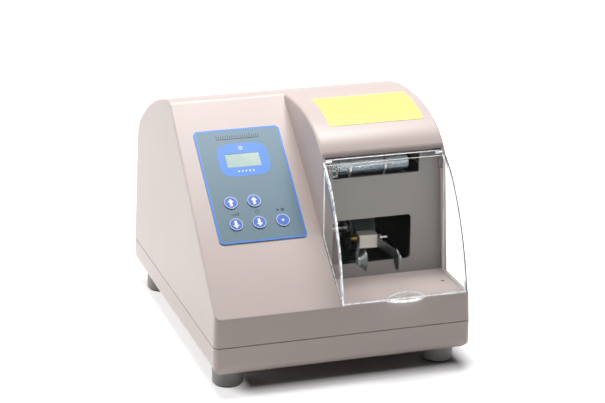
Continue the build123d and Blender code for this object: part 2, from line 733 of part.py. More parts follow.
def bead_span():
    """The hinge bead's ends, just inside the housing's two side walls."""
    return DIVIDE_X + WALL + 0.4, side_wall_x(PIVOT_Z) - WALL - 0.5


def lid_hinge_room():
    """The part of the sheet that reaches back between the housing's walls to the hinge bead."""
    bead_x0, bead_x1 = bead_span()
    return block(bead_x0, bead_x1, CHEEK_WALL_Y - LID_GAP - 1, PIVOT_Y, PIVOT_Z - 3, FAR)


def thumb_scoop():
    """Hollow half ellipsoid at the foot of the sheet, open below for a finger."""
    place = Pos(TAB_X, LID_FOOT[0] + 0.6, LID_FOOT[1])
    outer = ellipsoid(TAB_HALF_WIDTH, TAB_REACH, TAB_HEIGHT)
    inner = ellipsoid(TAB_HALF_WIDTH - TAB_WALL, TAB_REACH - TAB_WALL, TAB_HEIGHT - TAB_WALL)
    shell = place * (outer - inner)
    shell &= block(-FAR, FAR, -FAR, LID_FOOT[0] + 3, LID_FOOT[1], FAR)
    return shell - side_prism(lid_face(LID_SHEET / 2), -FAR, FAR)


def ellipsoid(a, b, c):
    """An ellipsoid with half axes a, b and c."""
    return scale(Sphere(1.0), by=(a, b, c))


def make_hinge_pins():
    left = rod_x(DIVIDE_X + 0.8, DIVIDE_X + 0.8 + PIN_LENGTH, PIVOT_Y, PIVOT_Z, PIN_R)
    end = side_wall_x(PIVOT_Z) - 0.8
    right = rod_x(end - PIN_LENGTH, end, PIVOT_Y, PIVOT_Z, PIN_R)
    return group([left, right])


# ---------------------------------------------------------------- keypad, display and its board
def make_keypad_overlay():
    mid_x = (OVERLAY_X0 + OVERLAY_X1) / 2
    mid_s = (OVERLAY_S0 + OVERLAY_S1) / 2
    width = OVERLAY_X1 - OVERLAY_X0
    height = OVERLAY_S1 - OVERLAY_S0
    sheet = panel_block(width, height, mid_x, mid_s, 0, OVERLAY_THICK, OVERLAY_CORNER_R)
    for x, s in KEYS.values():
        sheet -= panel_rod(KEY_R + KEY_GAP, x, s, -1, 2)
    sheet -= panel_block(LCD_VIEW_WIDTH, LCD_VIEW_HEIGHT, LCD_X, LCD_S, -1, 2)
    return sheet


def make_key(x, s):
    cap = extrude(Circle(KEY_R), amount=KEY_THICK)
    cap = fillet(cap.edges().group_by(Axis.Z)[-1], 0.3)
    cap = on_panel(cap, x, s, OVERLAY_THICK)
    stem = panel_rod(KEY_STEM_R, x, s, -BOARD_DEPTH + SWITCH_HEIGHT + KEY_TRAVEL + 0.2, OVERLAY_THICK)
    return cap + stem


def make_display():
    """Display module on the board, with a raised lens that fills the overlay's opening."""
    module = panel_block(LCD_GLASS_WIDTH, LCD_GLASS_HEIGHT, LCD_X, LCD_S, -BOARD_DEPTH, -0.1, 0.6)
    lens_width = LCD_VIEW_WIDTH - 0.2
    lens_height = LCD_VIEW_HEIGHT - 0.2
    return module + panel_block(lens_width, lens_height, LCD_X, LCD_S, -1, OVERLAY_THICK - 0.1)


def make_display_board():
    mid_x = (OVERLAY_X0 + OVERLAY_X1) / 2
    mid_s = (OVERLAY_S0 + OVERLAY_S1) / 2
    top = -BOARD_DEPTH
    board = panel_block(BOARD_POST_X * 2 + 8, BOARD_POST_S * 2 + 8, mid_x, mid_s, top - BOARD_THICK, top, 2.0)
    for x, s in board_fixings():
        board -= panel_rod(1.6, x, s, top - BOARD_THICK - 1, top + 1)
    return board


def make_key_switches():
    size = SWITCH_SIZE
    top = -BOARD_DEPTH + SWITCH_HEIGHT
    return group([panel_block(size, size, x, s, -BOARD_DEPTH, top, 0.4) for x, s in KEYS.values()])


def make_board_screws():
    """The same small screw holds both circuit boards."""
    screws = []
    for x, s in board_fixings():
        low = -BOARD_DEPTH - BOARD_THICK
        screws.append(panel_rod(2.8, x, s, low - 1.6, low) + panel_rod(1.2, x, s, low, low + 6))
    for x, y in board_post_places():
        top = POWER_BOARD_Z + BOARD_THICK
        screws.append(rod_z(top, top + 1.6, x, y, 2.8) + rod_z(top - 6, top, x, y, 1.2))
    return group(screws)


# ---------------------------------------------------------------- motor
def motor_ring(x0, x1, outer, inner):
    return ring_x(x0, x1, AXIS_Y, AXIS_Z, outer, inner)


def around_axis(shape, angle):
    """Turns a shape about the motor's axis."""
    return Pos(0, AXIS_Y, AXIS_Z) * Rot(angle, 0, 0) * Pos(0, -AXIS_Y, -AXIS_Z) * shape


def make_motor_can():
    return motor_ring(MOTOR_X0 + BELL_LENGTH, MOTOR_X1 - BELL_LENGTH, MOTOR_R, MOTOR_R - CAN_WALL)


def make_bell(face_x, inward):
    """An end bell: a cup with a spigot, its bush seat and air slots."""
    low, high = sorted((face_x, face_x + inward * BELL_LENGTH))
    floor_low, floor_high = sorted((face_x, face_x + inward * 3.0))
    bell = motor_ring(low, high, MOTOR_R, MOTOR_R - CAN_WALL - 0.9)
    bell += motor_ring(floor_low, floor_high, MOTOR_R, SHAFT_R + BUSH_WALL)
    seat_low, seat_high = sorted((face_x - inward * SPIGOT_LENGTH, face_x + inward * 8.0))
    bell += motor_ring(seat_low, seat_high, SPIGOT_R, SHAFT_R + BUSH_WALL)
    for index in range(6):
        slot = Pos((low + high) / 2, AXIS_Y, AXIS_Z + 21.5) * Box(BELL_LENGTH + 2, 9, 7)
        slot &= block(floor_low - 0.5, floor_high + 0.5, -FAR, FAR, -FAR, FAR)
        bell -= around_axis(slot, index * 60 + 30)
    return bell


def make_motor_bushes():
    front = motor_ring(MOTOR_X1 - 8, MOTOR_X1 + SPIGOT_LENGTH, SHAFT_R + BUSH_WALL, SHAFT_R + RUN_GAP)
    rear = motor_ring(MOTOR_X0 - SPIGOT_LENGTH, MOTOR_X0 + 8, SHAFT_R + BUSH_WALL, SHAFT_R + RUN_GAP)
    return group([front, rear])


STACK_X0 = -44.0
STACK_X1 = -14.0
COIL_REACH = 6.0


def make_stator_core():
    outer = MOTOR_R - CAN_WALL
    return motor_ring(STACK_X0, STACK_X1, outer, outer - STATOR_WALL)


def make_stator_coils():
    """Coil ends that stand out of both faces of the stator core."""
    outer = MOTOR_R - CAN_WALL - 0.6
    coils = []
    for low, high in ((STACK_X0 - COIL_REACH, STACK_X0), (STACK_X1, STACK_X1 + COIL_REACH)):
        for angle in (0, 180):
            half = motor_ring(low, high, outer, outer - STATOR_WALL + 1)
            half &= block(-FAR, FAR, -FAR, FAR, AXIS_Z + 4, FAR)
            half = fillet(half.edges().filter_by(GeomType.CIRCLE), 0.8)
            coils.append(around_axis(half, angle))
    return group(coils)


def make_rotor_core():
    core = motor_ring(STACK_X0, STACK_X1, ROTOR_R, SHAFT_R)
    for index in range(12):
        slot = Pos((STACK_X0 + STACK_X1) / 2, AXIS_Y, AXIS_Z + ROTOR_R - 2) * Box(FAR, 1.8, 6)
        core -= around_axis(slot, index * 30)
    return core


def make_rotor_shaft():
    shaft = rod_x(SHAFT_X0, SHAFT_X1, AXIS_Y, AXIS_Z, SHAFT_R)
    return chamfer(shaft.edges(), 0.6)


def make_cooling_fan():
    hub_x0 = SHAFT_X0 + 3
    hub_x1 = MOTOR_X0 - SPIGOT_LENGTH - BRACKET_PLATE - 1.0
    fan = motor_ring(hub_x0, hub_x1, 8.0, SHAFT_R)
    fan += motor_ring(hub_x1 - 1.6, hub_x1, FAN_R, 7.5)
    for index in range(FAN_BLADES):
        blade = block(hub_x0 + 1, hub_x1 - 1, AXIS_Y - 0.7, AXIS_Y + 0.7, AXIS_Z + 7.5, AXIS_Z + FAN_R)
        fan += around_axis(blade, index * 360 / FAN_BLADES)
    return fan


def make_motor_bracket():
    """A plate on rubber mounts with two upright ends that carry the bells' spigots."""
    y0 = AXIS_Y - BRACKET_MARGIN_Y
    y1 = AXIS_Y + BRACKET_MARGIN_Y
    x0 = MOTOR_X0 - BRACKET_PLATE
    x1 = MOTOR_X1 + BRACKET_PLATE
    bracket = block(x0, x1, y0, y1, BRACKET_TOP_Z, BRACKET_TOP_Z + BRACKET_PLATE)
    for low in (x0, MOTOR_X1):
        plate = block(low, low + BRACKET_PLATE, y0 + 4, y1 - 4, BRACKET_TOP_Z, AXIS_Z)
        plate += rod_x(low, low + BRACKET_PLATE, AXIS_Y, AXIS_Z, BRACKET_MARGIN_Y - 4)
        bracket += plate
    bracket -= rod_x(x0 - 1, x1 + 1, AXIS_Y, AXIS_Z, SPIGOT_R)
    for x, y in bracket_mount_places():
        bracket -= rod_z(BRACKET_TOP_Z - 1, BRACKET_TOP_Z + 9, x, y, 2.2)
    return bracket


def make_rubber_mounts():
    mounts = []
    for x, y in bracket_mount_places():
        mount = rod_z(FLOOR_TOP, BRACKET_TOP_Z, x, y, MOUNT_R)
        waist = Pos(x, y, (FLOOR_TOP + BRACKET_TOP_Z) / 2) * Torus(MOUNT_R + 1, 2.4)
        mounts.append(mount - waist - rod_z(0, 99, x, y, 2.0))
    return group(mounts)


def make_floor_screws():
    """Screws that hold the motor bracket and the transformer to the tray's floor."""
    bracket_z = BRACKET_TOP_Z + BRACKET_PLATE
    ear_z = FLOOR_TOP + EAR_THICK
    screws = [pan_screw(x, y, bracket_z, TRAY_BOTTOM + 0.4, 2.0) for x, y in bracket_mount_places()]
    screws += [pan_screw(x, y, ear_z, TRAY_BOTTOM + 0.4, 2.0) for x, y in ear_screw_places()]
    return group(screws)


# ---------------------------------------------------------------- oblique bearing
def fork_place():
    """The fork's own frame: X along the cups' axis, -Y out through the window."""
    return Pos(HUB_X, AXIS_Y, AXIS_Z) * Rot(0, 0, -TILT)


def local_ring(x0, x1, outer, inner):
    return ring_x(x0, x1, 0, 0, outer, inner)


def make_oblique_sleeve():
    """The sleeve's outside is tilted to its bore, so that the shaft's turning swings the fork."""
    sleeve = rod_x(-SLEEVE_LENGTH / 2, SLEEVE_LENGTH / 2, 0, 0, SLEEVE_R)
    sleeve += rod_x(-SLEEVE_LENGTH / 2 - 3, -BEARING_WIDTH / 2, 0, 0, SLEEVE_COLLAR_R)
    sleeve = fork_place() * sleeve
    sleeve -= rod_x(HUB_X - 30, HUB_X + 30, AXIS_Y, AXIS_Z, SHAFT_R)
    return sleeve


def ball_radius():
    pitch_room = BEARING_OUTER_R - SLEEVE_R - 2 * RACE_WALL
    return pitch_room / 2 + 0.9 - BALL_GAP


def pitch_radius():
    return (BEARING_OUTER_R + SLEEVE_R) / 2


def race_groove():
    return Rot(0, 90, 0) * Torus(pitch_radius(), ball_radius() + BALL_GAP)


def make_bearing_inner():
    ring = local_ring(-BEARING_WIDTH / 2, BEARING_WIDTH / 2, SLEEVE_R + RACE_WALL, SLEEVE_R)
    return fork_place() * (ring - race_groove())


def make_bearing_outer():
    ring = local_ring(-BEARING_WIDTH / 2, BEARING_WIDTH / 2, BEARING_OUTER_R, BEARING_OUTER_R - RACE_WALL)
    return fork_place() * (ring - race_groove())


def make_bearing_balls():
    balls = []
    for index in range(BALLS):
        turn = Rot(index * 360 / BALLS, 0, 0)
        balls.append(fork_place() * turn * Pos(0, 0, pitch_radius()) * Sphere(ball_radius()))
    return group(balls)


def make_bearing_cage():
    low = SLEEVE_R + RACE_WALL + 0.35
    high = BEARING_OUTER_R - RACE_WALL - 0.35
    cage = local_ring(-3.6, 3.6, high, low)
    for index in range(BALLS):
        turn = Rot(index * 360 / BALLS, 0, 0)
        cage -= turn * Pos(0, 0, pitch_radius()) * Cylinder(ball_radius() + 0.15, 12)
    return fork_place() * cage


# ---------------------------------------------------------------- fork
def make_fork_hub():
    drum = rod_x(-HUB_WIDTH / 2, HUB_WIDTH / 2, 0, 0, HUB_R)
    root = Plane.XZ.offset(8) * Rectangle(HUB_WIDTH, 34)
    tip = Plane.XZ.offset(BLOCK_FRONT - BLOCK_DEPTH) * Rectangle(BLOCK_WIDTH - 0.4, BLOCK_HEIGHT - 0.6)
    hub = drum + loft([root.face(), tip.face()])
    hub -= rod_x(-BEARING_WIDTH / 2, HUB_WIDTH, 0, 0, BEARING_OUTER_R)
    hub -= rod_x(-HUB_WIDTH, HUB_WIDTH, 0, 0, HUB_LIP_R)
    for side in (-1, 1):
        lug = block(-2.5, 2.5, side * SPRING_BACK - 3.5, side * SPRING_BACK + 3.5, -LUG_DROP, -10)
        lug -= rod_x(-9, 9, side * SPRING_BACK, -LUG_DROP + LUG_EYE, 1.2)
        hub += lug - rod_x(-HUB_WIDTH, HUB_WIDTH, 0, 0, HUB_R - 0.5)
    return fork_place() * hub


def make_fork_block():
    half = BLOCK_WIDTH / 2
    front = -BLOCK_FRONT
    solid = block(-half, half, front, front + BLOCK_DEPTH, -BLOCK_HEIGHT / 2, BLOCK_HEIGHT / 2)
    solid = chamfer(solid.edges().group_by(Axis.Y)[0], 0.5)
    solid -= rod_x(-half - 1, half + 1, -CLAMP_BACK, CLAMP_UP, CLAMP_R)
    solid -= rod_y(front - 1, front + 0.8, 0, 0, 2.6)
    return fork_place() * solid


def arm_tip_x(side):
    depth = LEFT_CUP_DEPTH if side < 0 else RIGHT_CUP_DEPTH
    return CUP_GAP / 2 + depth


def arm_outline(side, y0, y1):
    """Plan view of a flaring arm strip between two distances from the hub."""
    x0 = BLOCK_WIDTH / 2
    x1 = arm_tip_x(side)
    lead = CUP_REACH - CUP_RIM_R * 0.9
    inner = [(x0, -y0), (x1, -lead), (x1, -y1)]
    outer = [(x1 + ARM_THICK, -y1), (x1 + ARM_THICK, -lead + 0.4), (x0 + ARM_THICK, -y0)]
    points = [(side * x, y) for x, y in inner + outer]
    return make_face(Polyline(*points, close=True))


def make_fork_arm(side):
    """Spring leaf from the block's front corner to its cup, narrowing to a rounded tip."""
    outline = arm_outline(side, ARM_BEND, CUP_REACH + ARM_TIP_HEIGHT / 2)
    leaf = extrude(outline, amount=ARM_HEIGHT / 2, both=True)
    narrow = make_face(
        Polyline(
            (-ARM_BEND + 1, ARM_HEIGHT / 2),
            (-CUP_REACH, ARM_TIP_HEIGHT / 2),
            (-CUP_REACH, -ARM_TIP_HEIGHT / 2),
            (-ARM_BEND + 1, -ARM_HEIGHT / 2),
            close=True,
        )
    )
    narrow += Pos(-CUP_REACH, 0) * Circle(ARM_TIP_HEIGHT / 2)
    leaf &= side_prism(narrow, -FAR / 4, FAR / 4)
    leaf -= rod_x(-FAR / 4, FAR / 4, -CUP_REACH, 0, CUP_HOLE_R)
    return fork_place() * leaf


def make_arm_foot(side):
    """Clamped root of a spring arm, flat on the side of the block."""
    x0 = BLOCK_WIDTH / 2
    low, high = sorted((side * x0, side * (x0 + ARM_THICK)))
    foot = block(low, high, -ARM_BEND + 0.3, -BLOCK_FRONT + BLOCK_DEPTH, -ARM_HEIGHT / 2, ARM_HEIGHT / 2)
    foot -= rod_x(-FAR / 4, FAR / 4, -CLAMP_BACK, CLAMP_UP, CLAMP_R)
    return foot


def make_arm_feet():
    return group([fork_place() * make_arm_foot(side) for side in (-1, 1)])


def make_fork_cup(side):
    """A dished cup whose open rim faces the other cup."""
    left = side < 0
    depth = LEFT_CUP_DEPTH if left else RIGHT_CUP_DEPTH
    base_r = LEFT_CUP_BASE_R if left else RIGHT_CUP_BASE_R
    rim_x = CUP_GAP / 2
    base_x = rim_x + depth
    t = CUP_SHEET
    points = [
        (rim_x, CUP_RIM_R),
        (rim_x + t * 0.8, CUP_RIM_R),
        (base_x, base_r),
        (base_x, CUP_HOLE_R),
        (base_x - t, CUP_HOLE_R),
        (base_x - t, base_r - t * 0.8),
        (rim_x, CUP_RIM_R - t),
    ]
    face = make_face(Polyline(*points, close=True))
    cup = revolve(face, Axis.X, 360)
    if left:
        cup = mirror(cup, Plane.YZ)
    return fork_place() * Pos(0, -CUP_REACH, 0) * cup


def make_clamp_screw():
    """Brass screw that clamps both arm roots to the block, with its end standing out of the nut."""
    outer = BLOCK_WIDTH / 2 + ARM_THICK
    screw = rod_x(-outer, outer + CLAMP_TAIL, -CLAMP_BACK, CLAMP_UP, CLAMP_R)
    screw += rod_x(-outer - 2.2, -outer, -CLAMP_BACK, CLAMP_UP, 2.7)
    screw += rod_x(-outer - 4.6, -outer - 2.2, -CLAMP_BACK, CLAMP_UP, 1.8)
    return fork_place() * screw


def make_clamp_nut():
    outer = BLOCK_WIDTH / 2 + ARM_THICK
    shape = Rot(0, 90, 0) * extrude(RegularPolygon(NUT_R, 6), amount=NUT_THICK)
    nut = Pos(outer, -CLAMP_BACK, CLAMP_UP) * shape
    return fork_place() * (nut - rod_x(outer - 1, outer + 4, -CLAMP_BACK, CLAMP_UP, CLAMP_R))


# ---------------------------------------------------------------- anti-rotation springs
def spring_top(side):
    """Where a spring meets the hub's lug, in the machine's frame."""
    spot = fork_place() * Pos(0, side * SPRING_BACK, -LUG_DROP + LUG_EYE)
    return spot.position


def make_spring(side):
    """A coil spring from the anchor's post up to just under the hub's lug."""
    top = spring_top(side)
    z0 = SPRING_FOOT_Z + 1.0
    z1 = top.Z - LUG_EYE - 0.3 - SPRING_WIRE_R
    path = Helix(SPRING_PITCH, z1 - z0, SPRING_COIL_R)
    start = path @ 0
    profile = Plane(origin=start, z_dir=path % 0) * Circle(SPRING_WIRE_R)
    coil = sweep(profile, path=path)
    return Pos(top.X, top.Y, z0) * coil


def make_spring_anchor():
    """A small bridge on the tray floor with a post under each spring."""
    tops = [spring_top(side) for side in (-1, 1)]
    x0 = min(top.X for top in tops) - 6
    x1 = max(top.X for top in tops) + 6
    y0 = tops[0].Y - 7
    y1 = tops[1].Y + 7
    anchor = block(x0, x1, y0, y1, SPRING_FOOT_Z - 3, SPRING_FOOT_Z)
    for low in (y0, y1 - 3):
        anchor += block(x0, x1, low, low + 3, FLOOR_TOP, SPRING_FOOT_Z)
    for top in tops:
        anchor += rod_z(SPRING_FOOT_Z, SPRING_FOOT_Z + 5, top.X, top.Y, SPRING_COIL_R - SPRING_WIRE_R - 0.2)
    return anchor


# ---------------------------------------------------------------- chamber lamp
def lamp_middle():
    return (LAMP_X0 + LAMP_X1) / 2


def make_lamp_tube():
    """Clear glass tube, closed by the caps."""
    return ring_x(LAMP_X0 + LAMP_CAP, LAMP_X1 - LAMP_CAP, LAMP_Y, LAMP_Z, LAMP_R, LAMP_R - LAMP_GLASS_WALL)


def make_lamp_caps():
    caps = []
    for x0 in (LAMP_X0, LAMP_X1 - LAMP_CAP):
        cap = rod_x(x0, x0 + LAMP_CAP, LAMP_Y, LAMP_Z, LAMP_R)
        caps.append(chamfer(cap.edges().filter_by(GeomType.CIRCLE), 0.7))
    return group(caps)


def lamp_shelf_z():
    return LAMP_Z - LAMP_R - 3.0


def make_lamp_holder():
    """Angle behind the chamber panel, under the slot, with two clips round the lamp's tube."""
    top = lamp_shelf_z()
    back = CHAMBER_BACK_Y + CHAMBER_WALL
    holder = block(LAMP_X0, LAMP_X1, back, LAMP_Y + LAMP_R + 2, top - 1.5, top)
    holder += block(LAMP_X0, LAMP_X1, back, back + 1.5, top - 12, top)
    for offset_x in (-CLIP_OFFSET, CLIP_OFFSET):
        x0 = lamp_middle() + offset_x - CLIP_WIDTH / 2
        holder += ring_x(x0, x0 + CLIP_WIDTH, LAMP_Y, LAMP_Z, LAMP_R + 0.8, LAMP_R)
        holder += block(x0, x0 + CLIP_WIDTH, LAMP_Y - 3, LAMP_Y + 3, top - 1, LAMP_Z - LAMP_R - 0.1)
    return holder


# ---------------------------------------------------------------- electrics
def make_power_board():
    x0, x1, y0, y1 = POWER_BOARD
    board = block(x0, x1, y0, y1, POWER_BOARD_Z, POWER_BOARD_Z + BOARD_THICK)
    for x, y in board_post_places():
        board -= rod_z(0, 99, x, y, 1.6)
    return board


def make_filter_capacitors():
    top = POWER_BOARD_Z + BOARD_THICK
    cans = []
    for index in range(3):
        can = rod_z(top, top + 22, POWER_BOARD[0] + 18 + index * 15, 72, 5.6)
        cans.append(fillet(can.edges().group_by(Axis.Z)[-1], 0.8))
    return group(cans)


TRANSFORMER_WINDOW = 12.4
TRANSFORMER_EAR = 12.0
EAR_THICK = 1.6


def ear_screw_places():
    spots = CORE_Y / 2 + TRANSFORMER_EAR / 2
    return [(TRANSFORMER_X, TRANSFORMER_Y + side * spots) for side in (-1, 1)]


def make_transformer_core():
    """Laminated core with two windows and a mounting ear at each end."""
    x, y = TRANSFORMER_X, TRANSFORMER_Y
    core = Pos(x, y, FLOOR_TOP + CORE_Z / 2) * Box(CORE_X, CORE_Y, CORE_Z)
    for side in (-1, 1):
        mid = y + side * CORE_Y / 4
        core -= Pos(x, mid, FLOOR_TOP + CORE_Z / 2) * Box(CORE_X * 2, TRANSFORMER_WINDOW, CORE_Z - 16)
    core += Pos(x, y, FLOOR_TOP + EAR_THICK / 2) * Box(14, CORE_Y + 2 * TRANSFORMER_EAR, EAR_THICK)
    for sx, sy in ear_screw_places():
        core -= rod_z(FLOOR_TOP - 1, FLOOR_TOP + 4, sx, sy, 2.0)
    return core


def make_transformer_coil():
    """Bobbin winding around the core's middle limb."""
    x, y = TRANSFORMER_X, TRANSFORMER_Y
    outer = CORE_Y / 2 + TRANSFORMER_WINDOW - 0.8
    limb = CORE_Y / 2 - TRANSFORMER_WINDOW + 0.2
    height = CORE_Z - 16.4
    coil = Pos(x, y, FLOOR_TOP + CORE_Z / 2) * Box(CORE_X + 16, outer, height)
    coil = fillet(coil.edges().filter_by(Axis.Z), 4)
    return coil - Pos(x, y, FLOOR_TOP + CORE_Z / 2) * Box(CORE_X + 0.2, limb, CORE_Z)


# ---------------------------------------------------------------- rear face
INLET_SOCKET_DEPTH = 14.0


def make_mains_inlet():
    """Three-pin appliance inlet: a flange, a recessed socket and its pins."""
    z = REAR_PARTS_Z
    face = rear_wall_y(z) + 0.4
    w = INLET_WIDTH - 2 * FRAME_GAP
    h = INLET_HEIGHT - 2 * FRAME_GAP
    body = Pos(INLET_X, face - 13, z) * Box(w, 26, h)
    body += Pos(INLET_X, face + 1.2, z) * Box(w + 8, 2.4, h + 4)
    body -= Pos(INLET_X, face - INLET_SOCKET_DEPTH / 2 + 2, z) * Box(w - 4, INLET_SOCKET_DEPTH + 4, h - 4)
    pin = Box(2, INLET_SOCKET_DEPTH - 2, 4)
    for dx, dz in ((-7, -1.5), (0, 2.5), (7, -1.5)):
        body += Pos(INLET_X + dx, face - INLET_SOCKET_DEPTH / 2 - 1.5, z + dz) * pin
    return body


def make_rocker_frame():
    z = REAR_PARTS_Z
    face = rear_wall_y(z) + 0.4
    w = ROCKER_WIDTH - 2 * FRAME_GAP
    h = ROCKER_HEIGHT - 2 * FRAME_GAP
    frame = Pos(ROCKER_X, face - 8, z) * Box(w, 16, h)
    frame += Pos(ROCKER_X, face + 0.8, z) * Box(w + 2.4, 1.6, h + 2.4)
    frame -= Pos(ROCKER_X, face - 5, z) * Box(w - 2.8, 16, h - 2.8)
    return frame


ROCKER_PIVOT_IN = 3.0


def rocker_pivot():
    """Middle of the rocker's hinge line, just inside the frame's face."""
    return (ROCKER_X, rear_wall_y(REAR_PARTS_Z) + 0.4 - ROCKER_PIVOT_IN, REAR_PARTS_Z)


def make_power_rocker():
    """Rocker with its lower half pressed in, which is its off position."""
    x, y, z = rocker_pivot()
    w = ROCKER_WIDTH - 2 * FRAME_GAP - 2.8 - 0.5
    h = ROCKER_HEIGHT - 2 * FRAME_GAP - 2.8 - 1.6
    face = side_polygon((-3.5, -h / 2 + 1), (3.6, -h / 2), (2.4, 0), (3.6, h / 2), (-3.5, h / 2 - 1))
    body = Pos(x - w / 2, y, z) * Rot(-ROCKER_TILT, 0, 0) * extrude(Plane.YZ * face, amount=w)
    return body


def make_lid_sensor():
    """Small optical sensor that looks up through the shelf at the lid's edge."""
    low = SHELF_Z - WALL
    sensor = rod_z(low, SHELF_Z - 0.1, SENSOR_X, SENSOR_Y, SENSOR_R - 0.05)
    return sensor + block(SENSOR_X - 5, SENSOR_X + 5, SENSOR_Y - 4, SENSOR_Y + 4, low - 5, low)


# ---------------------------------------------------------------- all nodes
def build_all():
    nodes = {
        "base_tray": make_base_tray(),
        "feet": make_feet(),
        "foot_pads": make_foot_pads(),
        "foot_screws": make_foot_screws(),
        "case_screws": make_case_screws(),
        "upper_housing": make_upper_housing(),
        "chamber_panel": make_chamber_panel(),
        "roof_label": make_label(),
        "lid": make_lid(),
        "hinge_pins": make_hinge_pins(),
        "lid_sensor": make_lid_sensor(),
        "keypad_overlay": make_keypad_overlay(),
        "display": make_display(),
        "display_board": make_display_board(),
        "key_switches": make_key_switches(),
        "board_screws": make_board_screws(),
        "motor_can": make_motor_can(),
        "motor_front_bell": make_bell(MOTOR_X1, -1),
        "motor_rear_bell": make_bell(MOTOR_X0, 1),
        "motor_bushes": make_motor_bushes(),
        "stator_core": make_stator_core(),
        "stator_coils": make_stator_coils(),
        "motor_bracket": make_motor_bracket(),
        "rubber_mounts": make_rubber_mounts(),
        "floor_screws": make_floor_screws(),
        "rotor_shaft": make_rotor_shaft(),
        "rotor_core": make_rotor_core(),
        "cooling_fan": make_cooling_fan(),
        "oblique_sleeve": make_oblique_sleeve(),
        "bearing_inner_ring": make_bearing_inner(),
        "bearing_balls": make_bearing_balls(),
        "bearing_cage": make_bearing_cage(),
        "bearing_outer_ring": make_bearing_outer(),
        "fork_hub": make_fork_hub(),
        "fork_block": make_fork_block(),
        "fork_arm_feet": make_arm_feet(),
        "fork_arm_left": make_fork_arm(-1),
        "fork_arm_right": make_fork_arm(1),
        "fork_cup_left": make_fork_cup(-1),
        "fork_cup_right": make_fork_cup(1),
        "clamp_screw": make_clamp_screw(),
        "clamp_nut": make_clamp_nut(),
        "spring_front": make_spring(-1),
        "spring_rear": make_spring(1),
        "spring_anchor": make_spring_anchor(),
        "lamp_tube": make_lamp_tube(),
        "lamp_caps": make_lamp_caps(),
        "lamp_holder": make_lamp_holder(),
        "power_board": make_power_board(),
        "filter_capacitors": make_filter_capacitors(),
        "transformer_core": make_transformer_core(),
        "transformer_coil": make_transformer_coil(),
        "rocker_frame": make_rocker_frame(),
        "power_rocker": make_power_rocker(),
        "mains_inlet": make_mains_inlet(),
    }
    for key, (x, s) in KEYS.items():
        nodes[key] = make_key(x, s)
    return nodes


def write_all():
    """Centres the whole on its own length, lid and inlet included, and writes every node."""
    nodes = build_all()
    front = nodes["lid"].bounding_box().min.Y
    rear = nodes["mains_inlet"].bounding_box().max.Y
    to_centre = Pos(0, -(front + rear) / 2, 0)
    for name, shape in nodes.items():
        solids = [to_centre * solid for solid in shape.solids()]
        whole = solids[0] if len(solids) == 1 else group(solids)
        export_step(whole, f"parts/{name}.step")


write_all()
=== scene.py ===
import math

import bmesh
import bpy
from mathutils import Matrix, Vector


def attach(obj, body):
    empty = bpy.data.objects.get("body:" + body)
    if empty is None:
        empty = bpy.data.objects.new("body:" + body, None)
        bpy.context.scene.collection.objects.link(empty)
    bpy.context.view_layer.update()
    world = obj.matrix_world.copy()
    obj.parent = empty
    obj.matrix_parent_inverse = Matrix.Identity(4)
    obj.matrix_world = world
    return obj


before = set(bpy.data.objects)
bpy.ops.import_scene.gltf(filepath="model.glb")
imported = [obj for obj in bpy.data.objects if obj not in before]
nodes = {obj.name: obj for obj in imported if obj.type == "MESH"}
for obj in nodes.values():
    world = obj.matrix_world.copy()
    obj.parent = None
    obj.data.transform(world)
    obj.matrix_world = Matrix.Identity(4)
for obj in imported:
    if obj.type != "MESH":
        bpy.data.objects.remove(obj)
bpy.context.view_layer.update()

# ---------------------------------------------------------------- sizes of the solids, in millimetres
MM = 0.001
SHIFT_Y = 2.786  # the middle of the casing's length lies this far behind the origin
PANEL_TOP_Y, PANEL_TOP_Z = 27.5, 210.3
PANEL_FOOT_Y, PANEL_FOOT_Z = -144.0, 69.3
PANEL_ANGLE = math.atan2(PANEL_TOP_Z - PANEL_FOOT_Z, PANEL_TOP_Y - PANEL_FOOT_Y)
PANEL_ORIGIN = Vector((0, (PANEL_TOP_Y + SHIFT_Y) * MM, PANEL_TOP_Z * MM))

# places on the panel: x to the right, s down its slope
OVERLAY_X0, OVERLAY_X1, OVERLAY_S0, OVERLAY_S1 = -94.0, -15.8, 34.3, 150.4
LCD_X, LCD_S, LCD_WIDTH, LCD_HEIGHT = -55.2, 67.4, 31.0, 13.6
KEYS = {
    "key_speed_up": (-76.0, 110.0, "up"),
    "key_time_up": (-55.2, 110.0, "up"),
    "key_speed_down": (-76.0, 132.0, "down"),
    "key_time_down": (-55.2, 132.0, "down"),
    "key_start": (-34.1, 132.0, "dot"),
}

# lift of the printed layers out of the panel: foot and top
FIRST_INK = (0.8, 0.86)
SECOND_INK = (0.86, 0.9)
KEY_INK = (1.58, 1.66)

# ---------------------------------------------------------------- places in the materials, in metres
# the motor room behind the chamber, where the casing gets painted shade
ROOM_LEFT = 0.0
ROOM_RIGHT, ROOM_RIGHT_LEAN = 0.1153, 0.041
ROOM_FRONT, ROOM_BACK = -0.0765, 0.1340
ROOM_FOOT, ROOM_TOP = 0.0185, 0.1500
ROOM_SHADE = 0.05
# the overlay's painted reflection rises between these heights
OVERLAY_LOW_Z, OVERLAY_HIGH_Z = 0.11, 0.19
# the lamp tube's painted highlight and painted shade are laid out between these heights
LAMP_LOW_Z, LAMP_HIGH_Z = 0.1632, 0.1760
BRASS_END_X, PLATED_START_X = 0.0395, 0.0400
# the floor's painted shadow covers this footprint and fades out over SHADOW_REACH
FOOTPRINT_MIDDLE_X, FOOTPRINT_HALF_X, FOOTPRINT_HALF_Y = 0.015, 0.093, 0.127
SHADOW_REACH = 0.022
FLOOR_FADE_START, FLOOR_FADE_END = 0.25, 0.9
FLOOR_SIZE = 6.0
NOISE_LOW, NOISE_HIGH = 0.3, 0.7  # most of a noise's values lie between these


